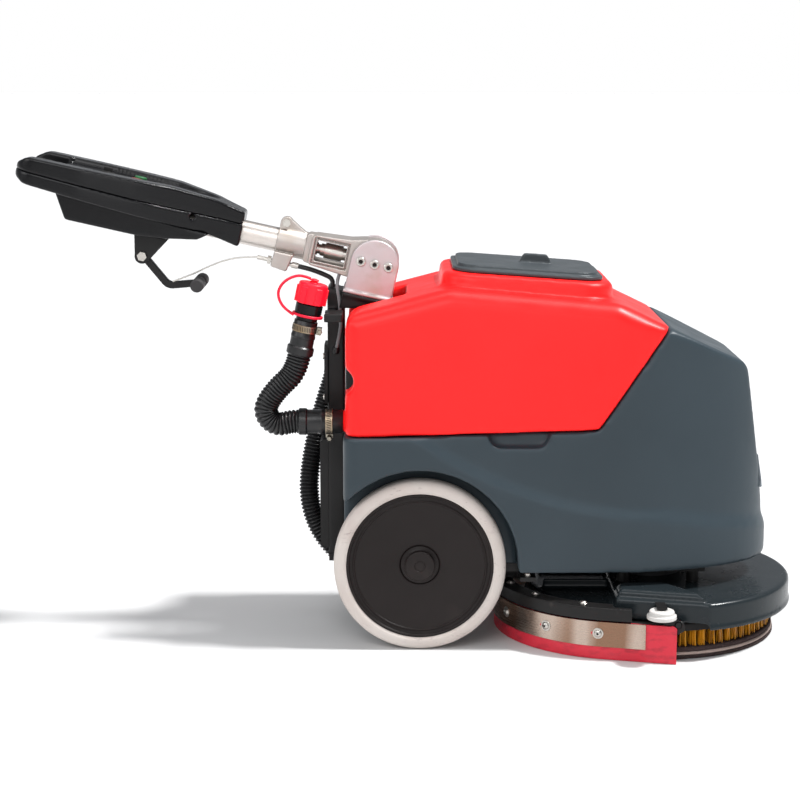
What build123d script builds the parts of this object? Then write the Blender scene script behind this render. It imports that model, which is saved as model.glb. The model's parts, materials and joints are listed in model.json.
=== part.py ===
"""Walk-behind floor scrubber with one round brush, two wheels and a folding tiller handle.

Millimetres. +X is forward, +Y is the machine's left and +Z is up. The origin is on the floor,
below the middle of the machine's outline. Every sub-part is one node, written to parts/NODE.step.
"""
import os
from math import cos, radians, sin, tan

from build123d import *

# ---- Driving dimensions ----------------------------------------------------------------------
WHEEL_RADIUS = 122
WHEEL_X = 10
WHEEL_OUTER_Y = 140
TYRE_WIDTH = 42
WHEEL_DISC_RADIUS = 104
AXLE_RADIUS = 10
BEARING_RADIUS = 17.5
RUNNING_GAP = 0.05

BRUSH_X = 348
PAD_RADIUS = 185
PAD_TOP = 17
TUFT_TOP = 40
DRIVER_TOP = 52
DECK_RADIUS = 206
DECK_TOP = 84
DECK_WALL = 5

BODY_REAR = -96
BODY_FRONT = 512
BODY_BOTTOM = 114
BODY_HALF_WIDTH = 141
NOSE_START = 272
SKIRT_PROUD = 6
SKIRT_STEPS = 5
TANK_WALL = 5
SEAM_REAR_Z = 306
SEAM_FRONT_Z = 317
SEAM_FRONT_X = 259
SEAM_GAP = 1.5

PIVOT_X = -54
PIVOT_Z = 538
HANDLE_TILT = 12.7
TUBE_RADIUS = 17.5
DRUM_RADIUS = 26

SQUEEGEE_X = 310
BLADE_RADIUS = 188
TAIL_ANGLE = 14
TAIL_END_X = 364
LIFT_PIVOT_X = 366
LIFT_PIVOT_Z = 56

DRAIN_Y = -92
DRAIN_TILT = 12
DRAIN_HOSE_RADIUS = 17
OUTLET_Z = 321
SUCTION_Y = 52
SUCTION_HOSE_RADIUS = 15


# ---- Small building helpers ------------------------------------------------------------------
def block(x_range, y_range, z_range):
    """A box between two places along each axis."""
    spans = (x_range, y_range, z_range)
    size = [high - low for low, high in spans]
    middle = [(high + low) / 2 for low, high in spans]
    return Pos(*middle) * Box(*size)


def rod_x(x_range, y, z, radius):
    """A cylinder along X."""
    low, high = x_range
    return Pos((low + high) / 2, y, z) * Rot(0, 90, 0) * Cylinder(radius, high - low)


def rod_y(x, y_range, z, radius):
    """A cylinder along Y."""
    low, high = y_range
    return Pos(x, (low + high) / 2, z) * Rot(90, 0, 0) * Cylinder(radius, high - low)


def rod_z(x, y, z_range, radius):
    """A cylinder along Z."""
    low, high = z_range
    return Pos(x, y, (low + high) / 2) * Cylinder(radius, high - low)


def outline(*corners):
    """A closed flat shape from (across, up, corner radius) triples."""
    points = [(across, up) for across, up, _ in corners]
    return make_face(FilletPolyline(*points, radius=[corner[2] for corner in corners], close=True))


def side_slab(face, y_range):
    """A flat shape drawn in X and Z, made solid between two places along Y."""
    low, high = y_range
    plane = Plane(origin=(0, high, 0), x_dir=(1, 0, 0), z_dir=(0, -1, 0))
    return extrude(plane * face, amount=high - low)


def floor_slab(face, z_range):
    """A flat shape drawn in X and Y, made solid between two heights."""
    low, high = z_range
    return extrude(Plane.XY.offset(low) * face, amount=high - low)


def turned(face, x, z):
    """A flat (radius, along Y) shape turned about the Y axis through x and z."""
    plane = Plane(origin=(x, 0, z), x_dir=(1, 0, 0), z_dir=(0, 0, 1))
    return revolve(plane * face, Axis((x, 0, z), (0, 1, 0)))


def mirrored(shape):
    """The same shape on the other side of the machine's middle plane."""
    return mirror(shape, about=Plane.XZ)


def both_sides(shape):
    """A shape together with its mirror image."""
    return shape + mirrored(shape)


def cord_radii(points):
    """The largest tangent arcs that a route's runs allow, one for each of its corners."""
    places = [Vector(*point) for point in points]
    runs = [end - start for start, end in zip(places, places[1:])]
    radii = []
    for before, after in zip(runs, runs[1:]):
        half_turn = radians(before.get_angle(after)) / 2
        radii.append(0.45 * min(before.length, after.length) / tan(half_turn))
    return radii


def cord(name, points, radius):
    """A round tube along a route of straight runs and tangent arcs."""
    radii = cord_radii(points)
    path = FilletPolyline(*points, radius=radii)
    tube = sweep(Plane(origin=path @ 0, z_dir=path % 0) * Circle(radius), path=path)
    expected = 3.14159 * radius**2 * path.length
    turns = ", ".join(f"{value:.0f}" for value in radii)
    print(f"{name}: length {path.length:.0f}, volume {tube.volume / expected:.3f} of expected, radii {turns}")
    return tube


def hex_head(radius, height):
    """A hexagonal bolt head standing on the XY plane."""
    return extrude(RegularPolygon(radius, 6), amount=height)


# ---- The handle's own frame: its pivot is at the origin, and it points along -X --------------
def at_pivot(shape):
    """A shape in the handle's own frame, put in its place on the machine."""
    return Pos(PIVOT_X, 0, PIVOT_Z) * Rot(0, HANDLE_TILT, 0) * shape


def on_handle(back, up, y=0):
    """The place of a point that is so far back along the handle and so far above its axis."""
    tilt = radians(HANDLE_TILT)
    x = PIVOT_X - back * cos(tilt) + up * sin(tilt)
    z = PIVOT_Z + back * sin(tilt) + up * cos(tilt)
    return (x, y, z)


# ---- Wheels and axle -------------------------------------------------------------------------
TYRE_INNER_Y = WHEEL_OUTER_Y - TYRE_WIDTH


def make_tyre():
    """The solid grey rubber tyre of the left wheel, with rounded shoulders."""
    face = outline(
        (WHEEL_DISC_RADIUS, TYRE_INNER_Y, 0),
        (WHEEL_RADIUS, TYRE_INNER_Y, 9),
        (WHEEL_RADIUS, WHEEL_OUTER_Y, 9),
        (WHEEL_DISC_RADIUS, WHEEL_OUTER_Y, 2),
    )
    return turned(face, WHEEL_X, WHEEL_RADIUS)


def make_wheel():
    """The dished disc of the left wheel, with its hub and a raised hub knob."""
    rim = WHEEL_DISC_RADIUS
    bore = BEARING_RADIUS + RUNNING_GAP
    disc = turned(
        outline(
            (bore, TYRE_INNER_Y + 2, 0),
            (30, TYRE_INNER_Y + 2, 0),
            (34, 122, 6),
            (92, 128, 8),
            (95, TYRE_INNER_Y + 4, 0),
            (rim, TYRE_INNER_Y + 4, 0),
            (rim, 137, 0),
            (99, 138, 2),
            (93, 134, 3),
            (30, 130, 4),
            (bore, 130, 0),
        ),
        WHEEL_X,
        WHEEL_RADIUS,
    )
    knob = turned(outline((0, 130, 0), (21, 130, 0), (20, 138, 3), (0, 140, 0)), WHEEL_X, WHEEL_RADIUS)
    return disc + knob


def make_axle():
    """The steel axle, a round bar through the chassis side plates."""
    return rod_y(WHEEL_X, (-127, 127), WHEEL_RADIUS, AXLE_RADIUS)


def make_bearings():
    """One bearing ring for each wheel, pressed on the axle."""
    ring = rod_y(WHEEL_X, (103, 125), WHEEL_RADIUS, BEARING_RADIUS)
    ring -= rod_y(WHEEL_X, (100, 128), WHEEL_RADIUS, AXLE_RADIUS)
    return both_sides(ring)


# ---- Chassis ---------------------------------------------------------------------------------
RAIL_INNER_Y = 62
RAIL_OUTER_Y = 84
RAIL_REAR = -46
RAIL_BOTTOM = 100
RAIL_TOP = 112
COLUMN_REAR = -122
COLUMN_FRONT = -98
COLUMN_HALF_WIDTH = 30
MOTOR_RADIUS = 50


def make_chassis():
    """Two rails with cross members, a rear spine, axle plates, a motor plate and deck standoffs."""
    rail = block((RAIL_REAR, 420), (RAIL_INNER_Y, RAIL_OUTER_Y), (RAIL_BOTTOM, RAIL_TOP))
    axle_plate = block((WHEEL_X - 32, WHEEL_X + 32), (78, RAIL_OUTER_Y), (RAIL_TOP, 146))
    axle_plate -= rod_y(WHEEL_X, (70, 90), WHEEL_RADIUS, AXLE_RADIUS)
    side = rail + axle_plate
    for x in (304, 404):
        side += rod_z(x, 73, (DECK_TOP, RAIL_BOTTOM), 9)
    outrigger = block((152, 174), (RAIL_OUTER_Y, 132), (RAIL_BOTTOM - 2, RAIL_BOTTOM + 4))
    frame = both_sides(side + outrigger)
    for start, end in ((RAIL_REAR, RAIL_REAR + 18), (58, 78)):
        frame += block((start, end), (-RAIL_INNER_Y, RAIL_INNER_Y), (RAIL_BOTTOM, RAIL_TOP))
    frame += block((COLUMN_REAR, RAIL_REAR + 1), (-24, 24), (RAIL_BOTTOM, RAIL_TOP))
    plate = block((288, 411), (-RAIL_INNER_Y, RAIL_INNER_Y), (RAIL_BOTTOM, RAIL_BOTTOM + 6))
    plate -= rod_z(BRUSH_X, 0, (RAIL_BOTTOM - 1, RAIL_TOP), MOTOR_RADIUS + 2)
    return frame + plate


def make_column():
    """The hollow black upright behind the body, with the sloping seat of the handle bracket."""
    tube = block((COLUMN_REAR, COLUMN_FRONT), (-COLUMN_HALF_WIDTH, COLUMN_HALF_WIDTH), (RAIL_TOP, 520))
    bore = block(
        (COLUMN_REAR + 3, COLUMN_FRONT - 3),
        (-COLUMN_HALF_WIDTH + 3, COLUMN_HALF_WIDTH - 3),
        (RAIL_TOP, 480),
    )
    above_seat = at_pivot(block((-150, 60), (-60, 60), (-53, 60)))
    seat = block((-36, 36), (-46, 46), (-53, -48)) + block((-58, -36), (-29, 29), (-53, -48))
    seat = at_pivot(seat)
    web = at_pivot(side_slab(outline((-36, -53, 0), (34, -53, 0), (30, -58, 0), (-36, -72, 0)), (38, 44)))
    cradle = block((COLUMN_REAR, -110), (DRAIN_Y + 26, -COLUMN_HALF_WIDTH), (466, 474))
    cradle += block((-124, COLUMN_FRONT), (DRAIN_Y - 16, DRAIN_Y + 30), (464, 476))
    cradle -= rod_z(-144, DRAIN_Y, (450, 490), 24)
    return tube - bore - above_seat + seat + both_sides(web) + cradle


def make_column_covers():
    """The two black cover plates on the back of the column."""
    upper = block((-127, COLUMN_REAR), (-32, 32), (336, 420))
    upper = chamfer(upper.edges().filter_by(Axis.X).group_by(Axis.Z)[-1], 10)
    lower = block((-134, COLUMN_REAR), (-29, 29), (122, 282))
    lower = fillet(lower.edges().filter_by(Axis.Y).group_by(Axis.X)[0], 6)
    return upper + lower


def make_frame_screws():
    """The six dome screws of the column covers and the outriggers."""
    screws = None
    for y, z in ((-24, 344), (24, 344), (-24, 404), (24, 404)):
        head = rod_x((-129, -127), y, z, 4.5)
        screws = head if screws is None else screws + head
    for y in (-122, 122):
        screws += rod_z(163, y, (RAIL_BOTTOM + 4, RAIL_BOTTOM + 8), 5)
    return screws


def make_deck_pins():
    """The two squeegee hinge pins and the two roller pins."""
    hinge_pin = rod_y(LIFT_PIVOT_X, (180, 206), LIFT_PIVOT_Z, 4)
    roller_pin = rod_z(ROLLER_X, ROLLER_Y, (63, 82), 4)
    arm = block((ROLLER_X - 7, ROLLER_X + 7), (179, ROLLER_Y + 5), (79, 82))
    return both_sides(hinge_pin + (roller_pin + arm))


# ---- Body: one outer form, parted at the seam into the two tanks ------------------------------
def body_plan(outset):
    """The body seen from above: straight sides and an elliptical nose."""
    half = BODY_HALF_WIDTH + outset
    reach = BODY_FRONT - NOSE_START + outset
    rear = BODY_REAR - outset / 3
    corner = 22
    nose = EllipticalCenterArc((NOSE_START, 0), reach, half, start_angle=-90, arc_size=180)
    rest = FilletPolyline(
        (NOSE_START, half), (rear, half), (rear, -half), (NOSE_START, -half), radius=[corner, corner]
    )
    return make_face(nose + rest)


TOP_LINE = ((BODY_REAR + 2, 476), (50, 514), (286, 493), (474, 402))


def shoulder_prism(start, end, outset):
    """A long prism just over one straight stretch of the top, with its two shoulders rounded."""
    along = Vector(end[0] - start[0], 0, end[1] - start[1])
    plane = Plane(origin=(start[0], 0, start[1] + outset + 0.4), x_dir=(0, 1, 0), z_dir=along)
    half = BODY_HALF_WIDTH + outset + 0.4
    shoulder = 26 + outset
    section = outline((-half, -700, 0), (half, -700, 0), (half, 0, shoulder), (-half, 0, shoulder))
    return extrude(plane * section, amount=900, both=True)


def body_form(outset):
    """The whole body as one solid, grown or shrunk by the outset."""
    profile = outline(
        (BODY_REAR - outset, BODY_BOTTOM - outset, 0),
        (BODY_REAR + 2 - outset, TOP_LINE[0][1] + outset, 26),
        (TOP_LINE[1][0], TOP_LINE[1][1] + outset, 100),
        (TOP_LINE[2][0], TOP_LINE[2][1] + outset, 90),
        (TOP_LINE[3][0] + outset, TOP_LINE[3][1] + outset, 28),
        (509 + outset, 190, 40),
        (BODY_FRONT + outset, BODY_BOTTOM - outset, 6),
    )
    form = side_slab(profile, (-200, 200)) & floor_slab(body_plan(outset), (60, 600))
    for start, end in zip(TOP_LINE, TOP_LINE[1:]):
        form &= shoulder_prism(start, end, outset)
    return form


def above_seam(gap):
    """Everything above the line that parts the tanks: nearly level, then steep at the front."""
    points = [
        (-200, SEAM_REAR_Z + gap),
        (BODY_REAR, SEAM_REAR_Z + gap),
        (SEAM_FRONT_X, SEAM_FRONT_Z + gap),
        (SEAM_FRONT_X + 150, SEAM_FRONT_Z + gap + 220),
        (SEAM_FRONT_X + 150, 700),
        (-200, 700),
    ]
    return side_slab(make_face(Polyline(*points, close=True)), (-220, 220))


def wheel_arches():
    """The room that the two wheels take out of the body."""
    arch = rod_y(WHEEL_X, (93, 200), WHEEL_RADIUS, WHEEL_RADIUS + 16)
    below = block((WHEEL_X - 200, WHEEL_X + WHEEL_RADIUS + 16), (93, 200), (0, WHEEL_RADIUS))
    return both_sides(arch + below)


def skirt_edge(rise):
    """The long curved edge of the skirt, at its lowest with no rise and at its highest with a rise of 1."""
    lowest = ((-2, 306), (149, 226), (330, 190), (560, 150))
    highest = ((24, 306), (178, 230), (377, 202), (560, 168))
    return [
        (low[0] + rise * (high[0] - low[0]), low[1] + rise * (high[1] - low[1]))
        for low, high in zip(lowest, highest)
    ]


def skirt():
    """The lower band of the body. It swells out in small steps below a long curved edge."""
    band = None
    for step in range(SKIRT_STEPS):
        rise = step / SKIRT_STEPS
        start, middle, end, nose = skirt_edge(rise)
        edge = ThreePointArc(start, middle, end)
        rest = Polyline(end, nose, (560, 90), (-140, 90), (-140, 306), start)
        region = side_slab(make_face(edge + rest), (-200, 200))
        layer = body_form(SKIRT_PROUD * (1 - rise)) & region
        band = layer if band is None else band + layer
    return band


def make_solution_tank():
    """The lower body: a hollow tank with a filler, an open battery bay and a motor well."""
    outside = (body_form(0) - above_seam(-SEAM_GAP)) + skirt()
    tunnel = block((-140, 75), (-93, 93), (0, 156))
    floor_cut = block((-140, 560), (-200, 200), (0, BODY_BOTTOM))
    outside -= wheel_arches() + tunnel + floor_cut
    bay = block((-84, 272), (-86, 86), (162, 400))
    well = rod_z(BRUSH_X, 0, (0, 262), MOTOR_RADIUS + 8)
    pocket = side_slab(outline((97, 330, 0), (112, 292, 14), (184, 292, 14), (199, 330, 0)), (128, 160))
    inside = body_form(-TANK_WALL) - above_seam(-SEAM_GAP - TANK_WALL)
    inside &= block((160, 600), (-200, 200), (BODY_BOTTOM + TANK_WALL, 600))
    inside -= block((0, 278), (-92, 92), (0, 500))
    inside -= rod_z(BRUSH_X, 0, (0, 268), MOTOR_RADIUS + 14)
    inside -= block((90, 206), (120, 200), (285, 400)) + block((90, 206), (-200, -120), (285, 400))
    filler = rod_z(296, 0, (330, 420), 26)
    return outside - inside - bay - well - both_sides(pocket) - filler


def make_front_plate():
    """The small thin plate that follows the curve of the nose."""
    return (body_form(2.5) & block((480, 560), (-38, 38), (214, 262))) - body_form(0)


# ---- Recovery tank, lid and drain -------------------------------------------------------------
LID_TILT = 4
LID_X = 161
LID_Z = 517
NOTCH_Z = 384
NOTCH_RADIUS = 18


def on_lid(shape):
    """A shape drawn about the lid's middle, put on the sloping top of the tank."""
    return Pos(LID_X, 0, LID_Z) * Rot(0, LID_TILT, 0) * shape


def lid_slab(length, width, corner, z_range):
    """A round-cornered plate about the lid's middle."""
    return floor_slab(RectangleRounded(length, width, corner), z_range)


def make_recovery_tank():
    """The upper tank with its raised collar, mouth and outlet, and a rear channel for the column."""
    outside = body_form(0) & above_seam(0)
    collar = on_lid(lid_slab(242, 218, 42, (-30, 4)) + lid_slab(234, 210, 38, (-30, 9)))
    outside += collar
    slot = block((-150, -10), (-54, 54), (290, 600))
    slot_wall = block((-91, -5), (-59, 59), (290, 600))
    inside = body_form(-TANK_WALL) & above_seam(TANK_WALL + 1)
    inside -= slot_wall + both_sides(rod_y(BODY_REAR - 4, (94, 166), NOTCH_Z, NOTCH_RADIUS + TANK_WALL))
    mouth = on_lid(lid_slab(192, 168, 24, (-60, 20)))
    outlet = rod_x((-112, -60), DRAIN_Y, OUTLET_Z, 14.5)
    outlet_bore = rod_x((-120, -60), DRAIN_Y, OUTLET_Z, 11)
    notch = rod_y(BODY_REAR - 4, (100, 160), NOTCH_Z, NOTCH_RADIUS)
    tank = outside + outlet - inside - slot - mouth - outlet_bore
    return tank - both_sides(notch)


def make_float_filter():
    """The standpipe with its float cage, hanging in the tank below the mouth."""
    pipe = rod_z(90, 0, (319.5, 470), 16) - rod_z(90, 0, (310, 480), 13)
    cage = rod_z(90, 0, (400, 486), 26) - rod_z(90, 0, (396, 480), 23)
    return pipe + cage


def make_lid():
    """The dark lid in two tiers, with a half-disc grip."""
    base = on_lid(lid_slab(212, 190, 34, (9.5, 15)))
    upper = on_lid(lid_slab(198, 176, 30, (15, 20)))
    skirt_ring = on_lid(lid_slab(186, 162, 22, (0, 9.5)) - lid_slab(178, 154, 18, (-1, 9.5)))
    grip_face = make_face(CenterArc((14, 16), 23, 0, 180) + Line((-9, 16), (37, 16)))
    grip = on_lid(side_slab(grip_face, (-6, 6))) - on_lid(block((-30, 60), (-9, 9), (33, 60)))
    return base + upper + skirt_ring + grip


def make_lid_seal():
    """The soft seal ring between lid and collar."""
    return on_lid(lid_slab(204, 180, 30, (9, 9.5)) - lid_slab(194, 170, 25, (8, 10)))


def on_drain(shape):
    """A shape drawn upright about the drain line's top, put on its leaning axis."""
    return Pos(-141, DRAIN_Y, 503) * Rot(0, DRAIN_TILT, 0) * shape


def make_drain_cap():
    """The red screw cap with finger lugs and a button on top."""
    cap = rod_z(0, 0, (-14, 15), 20.5)
    cap = fillet(cap.edges().group_by(Axis.Z)[-1], 3)
    for turn in range(6):
        cap += Rot(0, 0, 60 * turn) * block((17, 22.5), (-4.5, 4.5), (-14, 9))
    cap += rod_z(0, 0, (15, 17), 6) + rod_z(0, 0, (17, 21), 4)
    cap -= rod_z(0, 0, (-15, 11), 16.6)
    return on_drain(cap)


def make_drain_neck():
    """The black threaded neck that the cap closes."""
    neck = rod_z(0, 0, (-14.5, 9), 16.3) + rod_z(0, 0, (-34, -15), 19)
    neck += rod_z(0, 0, (-38, -34), 15) + rod_z(0, 0, (-60, -38), 12)
    neck -= rod_z(0, 0, (-61, 10), 10)
    return on_drain(neck)


def drain_cuff():
    """The upper rubber cuff: a plain sleeve with a flared collar at its lower end."""
    sleeve = rod_z(0, 0, (-76, -39), 16.5) + rod_z(0, 0, (-88, -76), 19)
    return on_drain(sleeve - rod_z(0, 0, (-70, -38), 12))


def lower_cuff():
    """The lower rubber cuff on the tank's outlet."""
    sleeve = rod_x((-150, -98), DRAIN_Y, OUTLET_Z, 17) + rod_x((-161, -150), DRAIN_Y, OUTLET_Z, 19)
    return sleeve - rod_x((-140, -97), DRAIN_Y, OUTLET_Z, 14.5)


def make_drain_cuffs():
    """Both rubber cuffs of the drain hose."""
    return drain_cuff() + lower_cuff()


def worm_clamp(radius):
    """A worm-drive hose clamp about the Z axis, with its screw housing on the +X side."""
    band = rod_z(0, 0, (-5, 5), radius + 1) - rod_z(0, 0, (-6, 6), radius)
    housing = block((radius, radius + 7), (-8, 8), (-5, 5))
    screw = rod_y(radius + 6, (-13, 11), 0, 3.5)
    return band + housing + screw


def make_hose_clamps():
    """The two worm-drive clamps on the cuffs."""
    upper = on_drain(Pos(0, 0, -50) * worm_clamp(16.5))
    lower = Pos(-118, DRAIN_Y, OUTLET_Z) * Rot(0, 90, 0) * worm_clamp(17)
    return upper + lower


DRAIN_ROUTE = [
    (-159.3, DRAIN_Y, 416.9),
    (-164.7, DRAIN_Y, 391.5),
    (-190.0, DRAIN_Y, 369.0),
    (-208.5, DRAIN_Y, 343.0),
    (-205.0, DRAIN_Y, 326.0),
    (-190.5, DRAIN_Y, 316.0),
    (-171.0, DRAIN_Y, OUTLET_Z),
    (-161.0, DRAIN_Y, OUTLET_Z),
]


def make_drain_hose():
    """The short ribbed hose between the two cuffs."""
    return cord("drain_hose", DRAIN_ROUTE, DRAIN_HOSE_RADIUS)


TETHER_ROUTE = [
    (-142.5, DRAIN_Y - 2, 524.0),
    (-153.0, DRAIN_Y - 5, 529.0),
    (-166.0, DRAIN_Y - 8, 528.0),
    (-180.0, DRAIN_Y - 10, 520.5),
    (-188.0, DRAIN_Y - 11, 507.5),
    (-186.0, DRAIN_Y - 12, 494.0),
    (-177.0, DRAIN_Y - 12, 481.5),
    (-166.0, DRAIN_Y - 11, 474.5),
]


def make_cap_tether():
    """The red strap from the cap's button to a ring around the neck."""
    strap = cord("cap_tether", TETHER_ROUTE, 2)
    ring = on_drain(rod_z(0, 0, (-33, -29), 22) - rod_z(0, 0, (-34, -28), 19.1))
    eye = on_drain(rod_z(0, 0, (18, 20), 6.5) - rod_z(0, 0, (17, 21), 4.1))
    return strap + ring + eye


# ---- Inside the body --------------------------------------------------------------------------
def make_battery():
    """The battery pack with its two posts."""
    pack = block((-78, 128), (-80, 80), (164, 288))
    pack = fillet(pack.edges().filter_by(Axis.Z), 8)
    for y in (-45, 45):
        pack += rod_z(100, y, (288, 296), 7)
    return pack


def make_vacuum_motor():
    """The suction motor: a wide fan housing below a narrower motor can."""
    fan = rod_z(200, 0, (163, 215), 62)
    can = rod_z(200, 0, (215, 280), 42)
    inlet = rod_z(200, 0, (280, 298), 18) - rod_z(200, 0, (270, 300), 14)
    return fan + can + inlet


def make_gearmotor():
    """The brush gearmotor, standing on the deck with its shaft pointing down."""
    body = rod_z(BRUSH_X, 0, (DECK_TOP, 130), MOTOR_RADIUS)
    can = rod_z(BRUSH_X, 0, (130, 245), MOTOR_RADIUS - 6)
    shaft = rod_z(BRUSH_X, 0, (60, DECK_TOP), 9)
    return body + can + shaft


# ---- Brush deck and brush ---------------------------------------------------------------------
ROLLER_X = 343
ROLLER_Y = 203
EAR_REAR_X = 284
EAR_REAR_Y = 165
EAR_FRONT_X = 412
EAR_FRONT_Y = 196.5
REAR_PLATE_RADIUS = 176
REAR_PLATE_BOTTOM = 60
REAR_PLATE_TOP = 67


def deck_plan(inset):
    """The front of the deck from above: a round front and two flat-sided ears."""
    radius = DECK_RADIUS - inset
    front_y = EAR_FRONT_Y - inset * 1.1
    front_x = BRUSH_X + (radius**2 - front_y**2) ** 0.5
    rear_y = EAR_REAR_Y - inset * 1.1
    arc = ThreePointArc((front_x, -front_y), (BRUSH_X + radius, 0), (front_x, front_y))
    rest = Polyline(
        (front_x, front_y),
        (EAR_REAR_X + inset, rear_y),
        (EAR_REAR_X + inset, -rear_y),
        (front_x, -front_y),
    )
    return make_face(arc + rest)


def ear_block():
    """The raised block on the left ear, with a sloping inner side."""
    face = make_face(
        Polyline((288, 160), (404, 190), (388, 160), (358, 118), (300, 118), (288, 130), close=True)
    )
    slab = floor_slab(face, (DECK_TOP - 2, 95))
    return chamfer(slab.edges().group_by(Axis.Z)[-1], 5)


def make_deck():
    """The brush deck: a deep round hood in front and a flat plate behind."""
    hood = floor_slab(deck_plan(0), (45, DECK_TOP))
    top_edges = hood.edges().group_by(Axis.Z)[-1].filter_by(lambda edge: edge.center().X > 300)
    hood = fillet(top_edges, 6)
    hood += floor_slab(deck_plan(-2) - deck_plan(3), (47, 51))
    hollow = floor_slab(deck_plan(DECK_WALL), (40, DECK_TOP - 6))
    ear_trim = block((200, 410), (-240, 240), (40, 54))
    hood = hood - hollow - ear_trim + both_sides(ear_block())
    plate = rod_z(BRUSH_X, 0, (REAR_PLATE_BOTTOM, REAR_PLATE_TOP), REAR_PLATE_RADIUS)
    plate &= block((100, 340), (-240, 240), (50, 80))
    wall = block((EAR_REAR_X, EAR_REAR_X + 5), (-150, 150), (REAR_PLATE_BOTTOM, DECK_TOP - 2))
    for y in (-50, 50):
        wall += block((190, EAR_REAR_X), (y - 3, y + 3), (REAR_PLATE_TOP - 1, DECK_TOP - 4))
    deck = hood + plate + wall
    seat = both_sides(block((LIFT_PIVOT_X - 7, LIFT_PIVOT_X + 7), (160, 183), (DRIVER_TOP + 1, 80)))
    deck += seat & floor_slab(deck_plan(1), (40, DECK_TOP - 1))
    return deck - rod_z(BRUSH_X, 0, (50, 100), 14)


def make_drive_hub():
    """The hub on the motor shaft, which carries the brush."""
    hub = rod_z(BRUSH_X, 0, (DRIVER_TOP, 57), 38) + rod_z(BRUSH_X, 0, (57, 59.5), 20)
    return hub


def make_pad_driver():
    """The round block that holds the tufts."""
    block_disc = rod_z(BRUSH_X, 0, (TUFT_TOP, DRIVER_TOP), 181)
    block_disc = fillet(block_disc.edges().group_by(Axis.Z)[-1], 4)
    return block_disc - rod_z(BRUSH_X, 0, (TUFT_TOP - 1, DRIVER_TOP + 1), 30)


def make_tufts():
    """The ring of bristle tufts, as a plain solid with a scalloped edge."""
    tufts = Circle(174) + PolarLocations(174, 72) * Circle(5.5) - Circle(60)
    return floor_slab(Pos(BRUSH_X, 0) * tufts, (PAD_TOP, TUFT_TOP))


def make_floor_pad():
    """The layered floor pad below the tufts."""
    pad = rod_z(BRUSH_X, 0, (0, PAD_TOP), PAD_RADIUS)
    return pad - rod_z(BRUSH_X, 0, (-1, PAD_TOP + 1), 40)


def make_roller():
    """The left wall roller: a wide lower tier and a narrower upper one."""
    roller = rod_z(ROLLER_X, ROLLER_Y, (65, 71), 20.5) + rod_z(ROLLER_X, ROLLER_Y, (71, 77.5), 17.5)
    roller = fillet(roller.edges().group_by(Axis.Z)[-1], 2.5)
    return roller - rod_z(ROLLER_X, ROLLER_Y, (60, 90), 4 + RUNNING_GAP)


# ---- Squeegee ----------------------------------------------------------------------------------
def squeegee_line(radius, front_x):
    """The U of the squeegee from above: a round back and two tails that spread forward."""
    spread = radians(TAIL_ANGLE)
    touch_x = SQUEEGEE_X - radius * sin(spread)
    touch_y = radius * cos(spread)
    front_y = touch_y + (front_x - touch_x) * tan(spread)
    arc = ThreePointArc((touch_x, -touch_y), (SQUEEGEE_X - radius, 0), (touch_x, touch_y))
    tails = [Line((front_x, -front_y), (touch_x, -touch_y)), Line((touch_x, touch_y), (front_x, front_y))]
    return tails[0], arc, tails[1], (front_x, front_y)


def squeegee_band(inner, outer, front_x, z_range):
    """A curved wall between two radii that follows the U of the squeegee."""
    tail_1, arc_1, tail_2, end_1 = squeegee_line(inner, front_x)
    tail_3, arc_2, tail_4, end_2 = squeegee_line(outer, front_x)
    closing = [Line(end_1, end_2), Line((end_1[0], -end_1[1]), (end_2[0], -end_2[1]))]
    face = make_face(tail_1 + arc_1 + tail_2 + tail_3 + arc_2 + tail_4 + closing[0] + closing[1])
    return floor_slab(face, z_range)


INNER_BLADE = (BLADE_RADIUS - 9.5, BLADE_RADIUS - 6.5)
FRAME_WALL = (BLADE_RADIUS - 6.5, BLADE_RADIUS - 3.5)
OUTER_BLADE = (BLADE_RADIUS - 3.5, BLADE_RADIUS)
STRIP = (BLADE_RADIUS, BLADE_RADIUS + 2)
CHANNEL_END_X = 303
FLANGE_END_X = 280
STRIP_END_X = 322


def make_squeegee_frame():
    """The black channel with its hinge eyes and the rear suction nozzle."""
    wall = squeegee_band(*FRAME_WALL, 358, (20, 55))
    channel = squeegee_band(FRAME_WALL[0], STRIP[1] + 1, CHANNEL_END_X, (56.5, 75))
    channel += squeegee_band(*FRAME_WALL, CHANNEL_END_X, (55, 57))
    flange = squeegee_band(FRAME_WALL[0] - 15, FRAME_WALL[0] + 1, FLANGE_END_X, (71, 75))
    eye = squeegee_band(*FRAME_WALL, 375, (40, 62))
    eye &= side_slab(outline((345, 30, 0), (345, 55, 0), (354, 62, 6), (375, 62, 6), (375, 47, 6)), (-240, 240))
    frame = wall + channel + flange + eye
    frame -= rod_y(LIFT_PIVOT_X, (-240, 240), LIFT_PIVOT_Z, 4 + RUNNING_GAP)
    nozzle = block((112, 160), (-30, 30), (75, 90)) + rod_x((94, 112), 0, 82, 15)
    nozzle -= rod_x((90, 130), 0, 82, 11)
    return frame + nozzle


def make_inner_blade():
    """The pale inner blade."""
    return squeegee_band(*INNER_BLADE, TAIL_END_X - 2, (1.0, 52))


def make_outer_blade():
    """The red outer blade, cut away around the hinge pins."""
    blade = squeegee_band(*OUTER_BLADE, TAIL_END_X, (0.5, 54))
    return blade - rod_y(LIFT_PIVOT_X, (-240, 240), LIFT_PIVOT_Z, 5)


def make_clamp_strip():
    """The bright steel strip that clamps the outer blade."""
    return squeegee_band(*STRIP, STRIP_END_X, (19, 54.5))


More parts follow.
